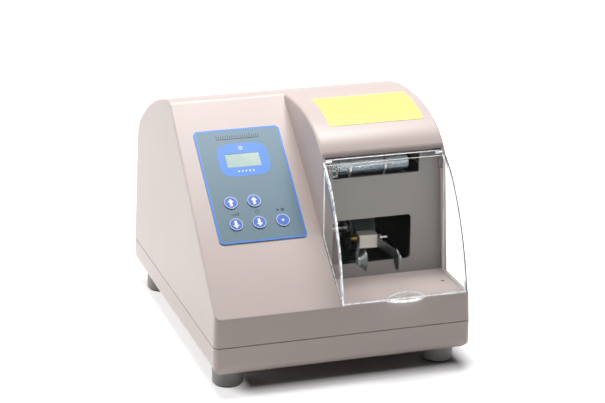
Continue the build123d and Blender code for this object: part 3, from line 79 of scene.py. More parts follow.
# ---------------------------------------------------------------- material kit
class Shader:
    """A Principled material with short helpers for its nodes."""

    def __init__(self, name):
        self.material = bpy.data.materials.new(name)
        self.material.use_nodes = True
        self.tree = self.material.node_tree
        self.bsdf = self.tree.nodes["Principled BSDF"]
        self.coords = self.tree.nodes.new("ShaderNodeTexCoord").outputs["Object"]

    def set(self, **values):
        for key, value in values.items():
            self.bsdf.inputs[key.replace("_", " ")].default_value = value
        return self

    def node(self, kind, **values):
        made = self.tree.nodes.new(kind)
        for key, value in values.items():
            setattr(made, key, value)
        return made

    def link(self, out, into):
        self.tree.links.new(out, into)

    def stretched(self, scale):
        mapping = self.node("ShaderNodeMapping")
        mapping.inputs["Scale"].default_value = scale
        self.link(self.coords, mapping.inputs["Vector"])
        return mapping.outputs["Vector"]

    def noise(self, scale, detail=3.0, stretch=None, rough=0.55):
        made = self.node("ShaderNodeTexNoise")
        made.inputs["Scale"].default_value = scale
        made.inputs["Detail"].default_value = detail
        made.inputs["Roughness"].default_value = rough
        self.link(self.stretched(stretch) if stretch else self.coords, made.inputs["Vector"])
        return made.outputs["Fac"]

    def ramp(self, fac, stops):
        made = self.node("ShaderNodeValToRGB")
        line = made.color_ramp.elements
        line[0].position, line[0].color = stops[0][0], (*stops[0][1], 1)
        line[1].position, line[1].color = stops[-1][0], (*stops[-1][1], 1)
        for place, colour in stops[1:-1]:
            line.new(place).color = (*colour, 1)
        self.link(fac, made.inputs["Fac"])
        return made.outputs["Color"]

    def two_tone(self, fac, first, second):
        """Colour that drifts between two tones over a noise's usual range."""
        return self.ramp(fac, [(NOISE_LOW, first), (NOISE_HIGH, second)])

    def position(self):
        """The place on the object as separate X, Y and Z."""
        split = self.node("ShaderNodeSeparateXYZ")
        self.link(self.coords, split.inputs[0])
        return split.outputs

    def levels(self, fac, low, high):
        """A noise's usual range spread from low to high."""
        made = self.node("ShaderNodeMapRange")
        made.inputs["From Min"].default_value = NOISE_LOW
        made.inputs["From Max"].default_value = NOISE_HIGH
        made.inputs["To Min"].default_value = low
        made.inputs["To Max"].default_value = high
        self.link(fac, made.inputs["Value"])
        return made.outputs["Result"]

    def levels_between(self, value, start, end):
        """From 0 at start to 1 at end."""
        made = self.node("ShaderNodeMapRange")
        made.inputs["From Min"].default_value = start
        made.inputs["From Max"].default_value = end
        self.link(value, made.inputs["Value"])
        return made.outputs["Result"]

    def math(self, kind, first, second=None, third=None):
        """A Math node whose inputs may be numbers or sockets."""
        made = self.node("ShaderNodeMath", operation=kind)
        for place, value in enumerate((first, second, third)):
            if isinstance(value, float):
                made.inputs[place].default_value = value
            elif value is not None:
                self.link(value, made.inputs[place])
        return made.outputs[0]

    def blend(self, fac, first, second):
        """Colour that goes from the first, a socket, to the second, a colour."""
        made = self.node("ShaderNodeMix", data_type="RGBA")
        self.link(fac, made.inputs[0])
        self.link(first, made.inputs[6])
        made.inputs[7].default_value = (*second, 1)
        return made.outputs[2]

    def colour(self, out):
        self.link(out, self.bsdf.inputs["Base Color"])
        return self

    def roughness(self, out):
        self.link(out, self.bsdf.inputs["Roughness"])
        return self

    def bump(self, fac, distance, strength=1.0):
        made = self.node("ShaderNodeBump")
        made.inputs["Distance"].default_value = distance
        made.inputs["Strength"].default_value = strength
        self.link(fac, made.inputs["Height"])
        previous = self.bsdf.inputs["Normal"].links
        if previous:
            self.link(previous[0].from_socket, made.inputs["Normal"])
        self.link(made.outputs["Normal"], self.bsdf.inputs["Normal"])
        return self


def tone(colour, factor):
    return tuple(min(1.0, channel * factor) for channel in colour)


def moulded(name, colour, rough=0.42, grain=1500.0, spread=0.03, depth=0.00003, coat=0.0, metal=0.0):
    """Moulded or sprayed plastic: a fine even texture and a slow drift of tone."""
    made = Shader(name)
    drift = made.noise(9.0, 2.0)
    made.colour(made.two_tone(drift, tone(colour, 1 - spread), tone(colour, 1 + spread)))
    made.roughness(made.levels(made.noise(grain * 0.3, 2.0), rough - 0.04, rough + 0.05))
    made.bump(made.noise(grain, 2.0), depth)
    made.set(Coat_Weight=coat, Metallic=metal)
    return made.material


def metal(name, colour, rough=0.3, stretch=(1, 1, 1), scale=500.0, spread=0.10, depth=0.00001):
    """Metal with fine drawn or ground marks and a little cloudiness."""
    made = Shader(name)
    marks = made.noise(scale, 3.0, stretch)
    made.colour(made.two_tone(made.noise(60.0, 3.0), tone(colour, 1 - spread), tone(colour, 1 + spread)))
    made.roughness(made.levels(marks, rough - 0.07, rough + 0.10))
    made.bump(marks, depth)
    made.set(Metallic=1.0)
    return made.material


def casing(name, colour):
    """Casing plastic, with painted shade where it faces the motor room behind the chamber."""
    made = Shader(name)
    outside = made.two_tone(made.noise(9.0, 2.0), tone(colour, 0.98), tone(colour, 1.02))
    place = made.position()
    wall = made.math("MULTIPLY_ADD", place["Z"], ROOM_RIGHT_LEAN, place["X"])
    room_shade_mask = made.math("GREATER_THAN", place["X"], ROOM_LEFT)
    for test, value, limit in (
        ("LESS_THAN", wall, ROOM_RIGHT),
        ("GREATER_THAN", place["Y"], ROOM_FRONT),
        ("LESS_THAN", place["Y"], ROOM_BACK),
        ("GREATER_THAN", place["Z"], ROOM_FOOT),
        ("LESS_THAN", place["Z"], ROOM_TOP),
    ):
        room_shade_mask = made.math("MULTIPLY", room_shade_mask, made.math(test, value, limit))
    # painted shade: inside the motor room the casing's colour turns near black
    made.colour(made.blend(room_shade_mask, outside, tone(colour, ROOM_SHADE)))
    made.roughness(made.levels(made.noise(450.0, 2.0), 0.32, 0.38))
    made.bump(made.noise(1500.0, 2.0), 0.00001)
    return made.material


def clear(name, tint, rough, ior):
    """Clear moulded plastic, glossier where it is seen aslant, with the faint waviness of its surface."""
    made = Shader(name)
    made.set(Transmission_Weight=1.0, IOR=ior, Base_Color=(*tint, 1), Coat_Roughness=0.03)
    slant = made.node("ShaderNodeLayerWeight")
    slant.inputs["Blend"].default_value = 0.5
    gloss = made.levels_between(slant.outputs["Facing"], 0.35, 0.75)
    made.link(made.math("MULTIPLY_ADD", gloss, 0.9, 0.06), made.bsdf.inputs["Coat Weight"])
    made.roughness(made.levels(made.noise(40.0, 2.0), max(0.0, rough - 0.02), rough + 0.02))
    made.bump(made.noise(14.0, 1.0), 0.00004)
    return made.material


CASE = (0.60, 0.505, 0.475)

case = casing("case_colour_and_painted_room_shade", CASE)
# grey-beige chamber panel, its tone also lowered as painted shade for the chamber
chamber_grey_and_shade = moulded("chamber_grey_and_painted_shade", (0.207, 0.194, 0.183), 0.42, spread=0.03, depth=0.00002)
foot_grey = moulded("foot_finish", (0.32, 0.31, 0.30), 0.45, spread=0.05)
rubber = moulded("rubber_finish", (0.018, 0.018, 0.018), 0.75, 900, 0.2, 0.00008)
black = moulded("black_finish", (0.012, 0.013, 0.014), 0.45, 1200, 0.15, 0.00004)
steel = metal("zinc_finish", (0.60, 0.60, 0.62), 0.32)
cast = moulded("cast_block_finish", (0.62, 0.58, 0.53), 0.45, 500, 0.12, 0.00008, metal=0.25)
bell = moulded("bell_finish", (0.05, 0.055, 0.055), 0.5, 700, 0.15, 0.00005)
spring_steel = metal("spring_steel_finish", (0.24, 0.265, 0.26), 0.40, (1, 0.3, 1), 300.0, 0.14)
cup_steel = metal("cup_finish", (0.13, 0.142, 0.14), 0.34, (1, 0.3, 1), 350.0, 0.2, 0.00003)
ground = metal("ground_finish", (0.66, 0.66, 0.67), 0.22, (0.2, 1, 1), 900.0)
brass = metal("brass_finish", (0.72, 0.50, 0.20), 0.28)
dark_metal = moulded("dark_metal_finish", (0.085, 0.115, 0.115), 0.42, 400, 0.15, 0.00003, metal=0.3)
rolled = metal("rolled_finish", (0.36, 0.36, 0.37), 0.4, (1, 1, 6), 400.0)
copper = moulded("winding_finish", (0.32, 0.10, 0.03), 0.35, 700, 0.25, 0.0001, metal=0.4)
tape = moulded("tape_finish", (0.62, 0.46, 0.06), 0.35, 500, 0.08)
board = moulded("board_finish", (0.015, 0.12, 0.05), 0.35, 800, 0.2)
label = moulded("label_finish", (0.86, 0.90, 0.21), 0.42, 700, 0.015, 0.00001)
acrylic = clear("lid_finish", (0.985, 0.99, 0.99), 0.02, 1.05)
blue_ink = moulded("blue_ink", (0.05, 0.235, 0.80), 0.33, 900, 0.04, 0.00001)
pale_blue_ink = moulded("pale_blue_ink", (0.62, 0.70, 0.95), 0.33, 900, 0.03, 0.00001)
white_ink = moulded("white_ink", (0.86, 0.87, 0.92), 0.4, 900, 0.02, 0.00001)
dark_ink = moulded("dark_ink", (0.03, 0.035, 0.05), 0.4, 900, 0.1, 0.00001)
key_blue = moulded("key_finish", (0.045, 0.15, 0.60), 0.30, 900, 0.05, 0.00001, coat=0.2)


def overlay_film_and_painted_reflection():
    """Satin film: grey-blue with a little green, with a painted reflection that makes it a touch lighter at
    its top.
    """
    made = Shader("overlay_film_and_painted_reflection")
    height = made.levels_between(made.position()["Z"], OVERLAY_LOW_Z, OVERLAY_HIGH_Z)
    # painted reflection: the colour lightens with height
    made.colour(made.ramp(height, [(0.0, (0.105, 0.19, 0.24)), (1.0, (0.135, 0.235, 0.31))]))
    made.roughness(made.levels(made.noise(900.0, 2.0), 0.34, 0.44))
    made.bump(made.noise(2200.0, 2.0), 0.00001)
    return made.material


def display_finish():
    """Reflective display under its lens: pale grey-green with a faint drift of tone."""
    made = Shader("display_finish")
    made.colour(made.two_tone(made.noise(60.0, 1.0), (0.36, 0.50, 0.45), (0.42, 0.56, 0.52)))
    made.roughness(made.levels(made.noise(900.0, 2.0), 0.22, 0.30))
    made.set(Coat_Weight=0.25, Coat_Roughness=0.08)
    return made.material


def lamp_glass_with_painted_light():
    """Glass tube that reads as long wandering streaks, with light and shade painted by height: painted shade
    in dark green at its foot, and a painted highlight in white along its crown.
    """
    made = Shader("lamp_glass_with_painted_light_and_shade")
    height = made.levels_between(made.position()["Z"], LAMP_LOW_Z, LAMP_HIGH_Z)
    streaks = made.noise(150.0, 5.0, (0.09, 1, 1), 0.7)
    crumple = made.noise(330.0, 4.0, (0.6, 1, 1), 0.7)
    wander = made.math("MULTIPLY_ADD", streaks, 1.1, made.math("ADD", height, -0.55))
    wander = made.math("MULTIPLY_ADD", crumple, 0.35, made.math("ADD", wander, -0.05))
    # painted shade low down, a thin painted highlight, grey-blue streaks, then a white painted highlight near
    # the crown
    made.colour(made.ramp(wander, [
        (0.06, (0.012, 0.035, 0.03)), (0.16, (0.42, 0.50, 0.50)), (0.22, (0.02, 0.055, 0.05)),
        (0.38, (0.10, 0.15, 0.17)), (0.50, (0.30, 0.37, 0.43)), (0.62, (0.17, 0.23, 0.28)),
        (0.76, (0.93, 0.96, 0.98)), (0.84, (0.20, 0.26, 0.30)), (0.95, (0.70, 0.75, 0.79)),
    ]))
    made.bump(streaks, 0.0012)
    made.bump(crumple, 0.0009)
    made.set(Transmission_Weight=0.12, IOR=1.45, Roughness=0.16)
    return made.material


def clamp_finish():
    """A plated screw whose head, at its left end, is brass."""
    made = Shader("clamp_screw_finish")
    plated = made.levels_between(made.position()["X"], BRASS_END_X, PLATED_START_X)
    made.colour(made.ramp(plated, [(0.0, (0.52, 0.33, 0.10)), (1.0, (0.62, 0.61, 0.56))]))
    marks = made.noise(900.0, 2.0, (4, 1, 1))
    made.roughness(made.levels(marks, 0.24, 0.4))
    made.bump(marks, 0.00005)
    made.set(Metallic=1.0)
    return made.material


def painted_edge_line(name, dark, light, glow):
    """A line along an edge of clear plastic: streaks of painted highlight, or of painted shade where its
    tones are dark, with a faint painted glow.
    """
    made = Shader(name)
    streaks = made.noise(260.0, 4.0, (1, 1, 0.3), 0.65)
    made.colour(made.ramp(streaks, [(0.40, dark), (0.52, light)]))
    made.roughness(made.levels(made.noise(300.0, 2.0), 0.12, 0.25))
    made.bump(streaks, 0.0002)
    made.set(Coat_Weight=0.5, Transmission_Weight=0.15, IOR=1.3)
    made.set(Emission_Color=(1, 1, 1, 1), Emission_Strength=glow)
    return made.material


# painted highlights, bright and even, and a painted shade line
edge_bright = painted_edge_line("painted_bright_edge_line", (0.30, 0.33, 0.38), (0.97, 0.98, 0.99), 0.10)
edge_even = painted_edge_line("painted_even_edge_line", (0.66, 0.68, 0.71), (0.98, 0.98, 0.99), 0.12)
edge_dark = painted_edge_line("painted_dark_edge_line", (0.03, 0.035, 0.04), (0.22, 0.23, 0.24), 0.0)
clamp_metal = clamp_finish()
nickel = metal("nickel_finish", (0.74, 0.72, 0.66), 0.34)
overlay = overlay_film_and_painted_reflection()
lcd = display_finish()
lamp_glass = lamp_glass_with_painted_light()

FINISH = {
    "base_tray": case, "upper_housing": case, "chamber_panel": chamber_grey_and_shade, "feet": foot_grey,
    "foot_pads": rubber, "rubber_mounts": rubber, "foot_screws": steel, "case_screws": steel,
    "board_screws": steel, "floor_screws": steel, "hinge_pins": ground, "roof_label": label,
    "lid": acrylic, "lid_sensor": black, "keypad_overlay": overlay, "display": lcd,
    "display_board": board, "key_switches": black, "motor_can": bell, "motor_front_bell": bell,
    "motor_rear_bell": bell, "motor_bushes": brass, "stator_core": rolled, "stator_coils": copper,
    "motor_bracket": steel, "rotor_shaft": ground, "rotor_core": rolled, "cooling_fan": black,
    "oblique_sleeve": ground, "bearing_inner_ring": ground, "bearing_balls": ground,
    "bearing_cage": brass, "bearing_outer_ring": ground, "fork_hub": dark_metal, "fork_block": cast,
    "fork_arm_feet": spring_steel, "fork_arm_left": spring_steel, "fork_arm_right": spring_steel,
    "fork_cup_left": cup_steel, "fork_cup_right": cup_steel, "clamp_screw": clamp_metal,
    "clamp_nut": nickel, "spring_front": spring_steel, "spring_rear": spring_steel,
    "spring_anchor": steel, "lamp_tube": lamp_glass, "lamp_caps": lamp_glass, "lamp_holder": steel,
    "power_board": board, "filter_capacitors": black, "transformer_core": rolled,
    "transformer_coil": tape, "rocker_frame": black, "power_rocker": black, "mains_inlet": black,
}
for key_name in KEYS:
    FINISH[key_name] = key_blue

for node_name, finish in FINISH.items():
    piece = nodes[node_name]
    if not piece.material_slots:
        piece.data.materials.append(finish)
    for material_slot in piece.material_slots:
        material_slot.material = finish


# ---------------------------------------------------------------- mesh kit
def to_object(name, bm, finish, body, smooth=False):
    mesh = bpy.data.meshes.new(name)
    bm.normal_update()
    bm.to_mesh(mesh)
    bm.free()
    for polygon in mesh.polygons:
        polygon.use_smooth = smooth
    mesh.materials.append(finish)
    made = bpy.data.objects.new(name, mesh)
    bpy.context.scene.collection.objects.link(made)
    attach(made, body)
    return made


def panel_point(x, s, lift):
    """A place on the sloped panel: x to the right, s down the slope from the crease, lift out of it."""
    back = -s * MM
    up = lift * MM
    cosine, sine = math.cos(PANEL_ANGLE), math.sin(PANEL_ANGLE)
    return PANEL_ORIGIN + Vector((x * MM, back * cosine - up * sine, back * sine + up * cosine))


def rounded(cx, cs, width, height, radius, steps=8):
    """Points of a rounded rectangle round (cx, cs), going round once."""
    points = []
    for turn, (sx, sy) in enumerate(((1, 1), (-1, 1), (-1, -1), (1, -1))):
        ox, oy = sx * (width / 2 - radius), sy * (height / 2 - radius)
        for step in range(steps + 1):
            angle = math.radians(90 * turn + 90 * step / steps)
            points.append((cx + ox + radius * math.cos(angle), cs + oy + radius * math.sin(angle)))
    return points


def circle(cx, cs, radius, count=40):
    return [(cx + radius * math.cos(a), cs + radius * math.sin(a))
            for a in (2 * math.pi * k / count for k in range(count))]


def add_plate(bm, outer, inner, low, high):
    """A thin plate on the panel between two lift heights, with an optional hole of as many points."""
    def loop(points, lift):
        return [bm.verts.new(panel_point(x, s, lift)) for x, s in points]

    top, bottom = loop(outer, high), loop(outer, low)
    count = len(outer)
    for k in range(count):
        n = (k + 1) % count
        bm.faces.new((top[k], top[n], bottom[n], bottom[k]))
    if inner is None:
        bm.faces.new(top)
        return
    hole_top, hole_bottom = loop(inner, high), loop(inner, low)
    for k in range(count):
        n = (k + 1) % count
        bm.faces.new((top[k], hole_top[k], hole_top[n], top[n]))
        bm.faces.new((hole_top[k], hole_bottom[k], hole_bottom[n], hole_top[n]))


def print_on_panel(name, shapes, finish, body="chassis", layer=FIRST_INK):
    """One printed piece from (outline, hole) pairs, between the layer's two lifts."""
    bm = bmesh.new()
    for outer, inner in shapes:
        add_plate(bm, outer, inner, *layer)
    bmesh.ops.recalc_face_normals(bm, faces=bm.faces)
    return to_object(name, bm, finish, body)


def bar(x0, x1, s0, s1):
    return [(x0, s0), (x1, s0), (x1, s1), (x0, s1)]


# ---------------------------------------------------------------- edges of the clear lid, in millimetres, drawn as strips of painted highlight and painted shade
LID_TOP, LID_BEND, LID_FOOT = (-84.9, 181.0), (-113.6, 155.4), (-144.5, 70.4)
LID_SLOPE = math.radians(27.0)
LID_LEFT, LID_RIGHT_TOP, LID_RIGHT_FOOT = -2.34, 108.7, 111.2
CHEEK_BACK_Y, CHEEK_TOP_Z = -89.2, 176.0
CHEEK_HIGHLIGHT_FRONT_Y, CHEEK_HIGHLIGHT_BACK_Y = -143.0, -91.0
SCOOP_X, SCOOP_HALF, SCOOP_REACH, SCOOP_HEIGHT = 54.0, 17.5, 8.5, 7.0
SCOOP_STEPS, CRESCENT_STEPS = 40, 24
CRESCENT_START, CRESCENT_SWEEP = 200, 140  # degrees


def tangent_arc(start, end, heading, count):
    """Points of the arc from start to end that sets off along heading, and its heading at the end."""
    dx, dz = end[0] - start[0], end[1] - start[1]
    nx, nz = -heading[1], heading[0]
    radius = (dx * dx + dz * dz) / (2 * (dx * nx + dz * nz))
    cx, cz = start[0] + nx * radius, start[1] + nz * radius
    first = math.atan2(start[1] - cz, start[0] - cx)
    last = math.atan2(end[1] - cz, end[0] - cx)
    sweep = math.remainder(last - first, 2 * math.pi)
    angles = [first + sweep * k / count for k in range(count + 1)]
    points = [(cx + abs(radius) * math.cos(a), cz + abs(radius) * math.sin(a)) for a in angles]
    way = 1 if radius > 0 else -1
    return points, (-way * math.sin(last), way * math.cos(last))


def lid_profile():
    """The lid's outer curve in (y, z), from the hinge to its foot."""
    upper, heading = tangent_arc(LID_TOP, LID_BEND, (-math.cos(LID_SLOPE), -math.sin(LID_SLOPE)), 14)
    lower, heading = tangent_arc(LID_BEND, LID_FOOT, heading, 26)
    return upper + lower[1:]


def right_edge_x(z):
    share = (z - LID_FOOT[1]) / (LID_TOP[1] - LID_FOOT[1])
    return LID_RIGHT_FOOT + (LID_RIGHT_TOP - LID_RIGHT_FOOT) * share


RING_UP = Vector((0.3, 0.2, 1.0))  # along none of the strips


def lid_strip(name, points, radius, finish, closed=False, sides=8):
    """A slim round strip, of painted highlight or painted shade, that follows points given in millimetres."""
    path = [Vector((x, y + SHIFT_Y, z)) * MM for x, y, z in points]
    bm = bmesh.new()
    rings = []
    count = len(path)
    for k, point in enumerate(path):
        before = path[(k - 1) % count] if closed or k else point
        after = path[(k + 1) % count] if closed or k < count - 1 else point
        ahead_now = (after - before).normalized()
        side = ahead_now.cross(RING_UP).normalized()
        other = side.cross(ahead_now)
        ring = []
        for turn_step in range(sides):
            angle = 2 * math.pi * turn_step / sides
            outward = side * math.cos(angle) + other * math.sin(angle)
            ring.append(bm.verts.new(point + outward * radius * MM))
        rings.append(ring)
    for k in range(count if closed else count - 1):
        here, there = rings[k], rings[(k + 1) % count]
        for turn_step in range(sides):
            n = (turn_step + 1) % sides
            bm.faces.new((here[turn_step], here[n], there[n], there[turn_step]))
    if not closed:
        bm.faces.new(rings[0][::-1])
        bm.faces.new(rings[-1])
    bmesh.ops.recalc_face_normals(bm, faces=bm.faces)
    return to_object(name, bm, finish, "lid_body", smooth=True)


def inward(points, distance):
    """The profile set in by a distance, towards the chamber."""
    moved = []
    for k, (y, z) in enumerate(points):
        y0, z0 = points[max(k - 1, 0)]
        y1, z1 = points[min(k + 1, len(points) - 1)]
        length = math.hypot(y1 - y0, z1 - z0)
        moved.append((y - (z1 - z0) / length * distance, z + (y1 - y0) / length * distance))
    return moved


def along_left(set_in, inset_x):
    """The left cheek's curved edge, moved in by set_in and to the right by inset_x."""
    return [(LID_LEFT + inset_x, y, z) for y, z in inward(lid_profile(), set_in)]


def along_right(set_in, inset_x):
    return [(right_edge_x(z) - inset_x, y, z) for y, z in inward(lid_profile(), set_in)]


def scoop_rim():
    """The scoop's outline: up over the sheet for one half, out in front of it for the other."""
    loop = []
    for k in range(SCOOP_STEPS):
        angle = 2 * math.pi * k / SCOOP_STEPS
        x = SCOOP_X + (SCOOP_HALF - 0.6) * math.cos(angle)
        if k <= SCOOP_STEPS // 2:
            y = LID_FOOT[0] - 0.1 + 0.2 * math.sin(angle)
            z = LID_FOOT[1] + 0.4 + (SCOOP_HEIGHT - 0.7) * math.sin(angle)
        else:
            y = LID_FOOT[0] + 0.6 + (SCOOP_REACH - 0.7) * math.sin(angle)
            z = LID_FOOT[1] + 0.5
        loop.append((x, y, z))
    return loop


def scoop_crescent():
    """The inner painted highlight, a line of light in the scoop's lip."""
    line = []
    for k in range(CRESCENT_STEPS + 1):
        angle = math.radians(CRESCENT_START + CRESCENT_SWEEP * k / CRESCENT_STEPS)
        x = SCOOP_X + (SCOOP_HALF - 3.2) * math.cos(angle)
        line.append((x, LID_FOOT[0] + 0.6 + (SCOOP_REACH - 2.4) * math.sin(angle), LID_FOOT[1] + 0.9))
    return line


# painted highlights along the lid's top edge and a little way below it
second_top_highlight = inward(lid_profile(), 0.5)[2]
for strip_name, (y, z), radius in (("lid_edge_top", LID_TOP, 0.45), ("lid_second_top_highlight", second_top_highlight, 0.25)):
    lid_strip(strip_name, [(LID_LEFT + 0.8, y, z), (LID_RIGHT_TOP - 0.8, y, z)], radius, edge_even)

# a painted highlight line along the left cheek, where it meets the panel's slope
cheek_highlight_slope = (114.4 - 69.3) / (144.0 - 89.2)
cheek_highlight_line = [(LID_LEFT + 0.2, y, 70.2 + 0.9 + (144.0 + y) * cheek_highlight_slope) for y in (CHEEK_HIGHLIGHT_FRONT_Y, CHEEK_HIGHLIGHT_BACK_Y)]
lid_strip("lid_cheek_highlight", cheek_highlight_line, 0.5, edge_bright)

# the left cheek's front edge: a painted highlight, a painted shade line inside it, and a second painted
# highlight
lid_strip("lid_edge_left", along_left(0.8, 0.9), 0.8, edge_bright)
lid_strip("lid_edge_left_dark", along_left(2.4, 0.8), 0.35, edge_dark)
lid_strip("lid_edge_left_inner", along_left(4.2, 0.8), 0.4, edge_bright)
# the right cheek's front edge: a painted shade line with a painted highlight inside it
lid_strip("lid_edge_right", along_right(0.5, 0.5), 0.55, edge_dark)
lid_strip("lid_edge_right_inner", along_right(2.0, 2.0), 0.4, edge_even)

# a painted highlight along the lid's foot
foot_y = LID_FOOT[0] + 0.8
foot_z = LID_FOOT[1] + 0.6
foot_line = [(LID_LEFT + 0.7, foot_y, foot_z + 0.2), (LID_RIGHT_FOOT - 0.8, foot_y, foot_z + 0.2)]
lid_strip("lid_edge_foot", foot_line, 0.75, edge_even)

# painted highlights up the cheeks' back edges and along their sills
back_left_x = LID_LEFT + 1.1
back_left = [(back_left_x, CHEEK_BACK_Y, CHEEK_TOP_Z), (back_left_x, CHEEK_BACK_Y, foot_z)]
back_right = [(right_edge_x(z) - 1.1, CHEEK_BACK_Y, z) for z in (CHEEK_TOP_Z, foot_z)]
lid_strip("lid_edge_back_left", back_left, 0.6, edge_even)
lid_strip("lid_edge_back_right", back_right, 0.6, edge_even)
for side_name, x in (("left", back_left_x), ("right", LID_RIGHT_FOOT - 1.1)):
    lid_strip("lid_sill_" + side_name, [(x, CHEEK_BACK_Y, foot_z), (x, foot_y, foot_z)], 0.6, edge_even)

# painted highlights round the scoop's outline and in its lip
lid_strip("lid_scoop_rim", scoop_rim(), 0.6, edge_even, closed=True)
lid_strip("lid_scoop_crescent", scoop_crescent(), 0.7, edge_even)


# ---------------------------------------------------------------- printed overlay
SURROUND_POINTS = 96
SURROUND_WIDTH, SURROUND_HEIGHT, SURROUND_POWER = 45.5, 34.0, 4.2
ARROW = [(0, 3.9), (2.9, 0.6), (1.25, 0.6), (1.25, -3.6), (-1.25, -3.6), (-1.25, 0.6), (-2.9, 0.6)]


def overlay_frame(inset, radius):
    """The overlay's outline, set in by inset in all."""
    middle_x, middle_s = (OVERLAY_X0 + OVERLAY_X1) / 2, (OVERLAY_S0 + OVERLAY_S1) / 2
    width, height = OVERLAY_X1 - OVERLAY_X0 - inset, OVERLAY_S1 - OVERLAY_S0 - inset
    return rounded(middle_x, middle_s, width, height, radius)


def bulged(cx, cs, width, height, power, count):
    """A superellipse with the given number of points, going round once."""
    points = []
    for k in range(count):
        angle = 2 * math.pi * (k + 0.5) / count
        c, s = math.cos(angle), math.sin(angle)
        radius = (abs(c) ** power + abs(s) ** power) ** (-1 / power)
        points.append((cx + width / 2 * radius * c, cs + height / 2 * radius * s))
    return points


def window_hole(count):
    """The display opening with as many points, each in line with its own on the bulged outline."""
    points = []
    for k in range(count):
        angle = 2 * math.pi * (k + 0.5) / count
        c, s = math.cos(angle), math.sin(angle)
        reach = 1 / max(abs(c), abs(s))
        points.append((LCD_X + (LCD_WIDTH / 2 + 0.3) * reach * c, LCD_S + (LCD_HEIGHT / 2 + 0.3) * reach * s))
    return points


print_on_panel("overlay_border", [(overlay_frame(0.2, 3.9), overlay_frame(3.4, 2.6))], blue_ink)
surround = bulged(LCD_X + 0.6, LCD_S - 0.6, SURROUND_WIDTH, SURROUND_HEIGHT, SURROUND_POWER, SURROUND_POINTS)
print_on_panel("display_surround", [(surround, window_hole(SURROUND_POINTS))], blue_ink)
for key_name, (kx, ks, mark) in KEYS.items():
    body = key_name + "_body"
    rim = (circle(kx, ks, 5.95), circle(kx, ks, 5.35))
    print_on_panel(key_name + "_rim", [rim], pale_blue_ink, body, KEY_INK)
    if mark == "dot":
        outline = circle(kx, ks, 1.1)
    else:
        way = -1 if mark == "up" else 1
        outline = [(kx + dx, ks + way * ds) for dx, ds in ARROW]
    print_on_panel(key_name + "_mark", [(outline, None)], white_ink, body, KEY_INK)

# plain pictograms: a graduated scale, a clock face, a row of dots, bars that rise, and a triangle and square
scale_marks = [(bar(-74.6 + 2 * k, -74.1 + 2 * k, 41.2 if k % 5 else 40.2, 44.6), None) for k in range(20)]
print_on_panel("overlay_scale", scale_marks + [(bar(-74.6, -36.1, 44.6, 45.2), None)], dark_ink)
clock = [
    (circle(LCD_X, 54.8, 1.9, 24), circle(LCD_X, 54.8, 1.45, 24)),
    (bar(LCD_X - 0.2, LCD_X + 0.2, 53.5, 54.9), None),
    (bar(LCD_X - 0.2, LCD_X + 1.1, 54.7, 55.1), None),
]
print_on_panel("display_marks_top", clock, white_ink, layer=SECOND_INK)
dots = [(bar(LCD_X - 7 + 3.3 * k, LCD_X - 5.6 + 3.3 * k, 78.0, 79.4), None) for k in range(5)]
print_on_panel("display_marks_foot", dots, white_ink, layer=SECOND_INK)
rising_bars = [(bar(-79.2 + 2.2 * k, -77.8 + 2.2 * k, 122.4 - 0.85 * k, 123.0), None) for k in range(4)]
print_on_panel("speed_mark", rising_bars, dark_ink)
small_clock = [
    (circle(-54.8, 121.1, 2.0, 24), circle(-54.8, 121.1, 1.6, 24)),
    (bar(-55.0, -54.6, 119.8, 121.2), None),
    (bar(-55.0, -53.6, 120.9, 121.3), None),
]
print_on_panel("time_mark", small_clock, dark_ink)
triangle = [(-37.4, 119.4), (-34.8, 121.1), (-37.4, 122.8)]
print_on_panel("start_mark", [(triangle, None), (bar(-33.6, -30.6, 119.6, 122.6), None)], dark_ink)


# ---------------------------------------------------------------- floor, light and camera
def floor_white_with_painted_shadow():
    """White that stays white to the eye, to gloss and to clear pieces. Over the object's footprint it keeps
    the object's shadow and adds a painted shadow: grey and without glow there, fading to white within
    SHADOW_REACH.
    """
    made = Shader("floor_white_with_painted_shadow")
    place = made.position()
    from_middle = made.math("ABSOLUTE", made.math("SUBTRACT", place["X"], FOOTPRINT_MIDDLE_X))
    beside = made.math("MAXIMUM", made.math("SUBTRACT", from_middle, FOOTPRINT_HALF_X), 0.0)
    ahead_or_behind = made.math("SUBTRACT", made.math("ABSOLUTE", place["Y"]), FOOTPRINT_HALF_Y)
    along = made.math("MAXIMUM", ahead_or_behind, 0.0)
    squares = made.math("ADD", made.math("POWER", beside, 2.0), made.math("POWER", along, 2.0))
    away = made.math("POWER", squares, 0.5)
    clear_of_painted_shadow = made.levels_between(away, 0.0, SHADOW_REACH)
    far = made.levels_between(away, FLOOR_FADE_START, FLOOR_FADE_END)
    path = made.node("ShaderNodeLightPath")
    # painted shadow: grey over the footprint, white beyond SHADOW_REACH
    seen_colour = made.ramp(clear_of_painted_shadow, [(0.0, (0.40, 0.40, 0.40)), (1.0, (0.88, 0.88, 0.88))])
    made.colour(made.blend(path.outputs["Is Diffuse Ray"], seen_colour, (0.75, 0.75, 0.75)))
    looked_at = made.math("MAXIMUM", path.outputs["Is Camera Ray"], path.outputs["Is Glossy Ray"])
    looked_at = made.math("MAXIMUM", looked_at, path.outputs["Is Transmission Ray"])
    # no glow over the footprint, so the painted shadow shows there
    glow = made.math("MULTIPLY_ADD", clear_of_painted_shadow, 0.6, made.math("MULTIPLY", far, 0.4))
    made.link(made.math("MULTIPLY", glow, looked_at), made.bsdf.inputs["Emission Strength"])
    made.set(Emission_Color=(1, 1, 1, 1), Roughness=0.6, Specular_IOR_Level=0.1)
    return made.material


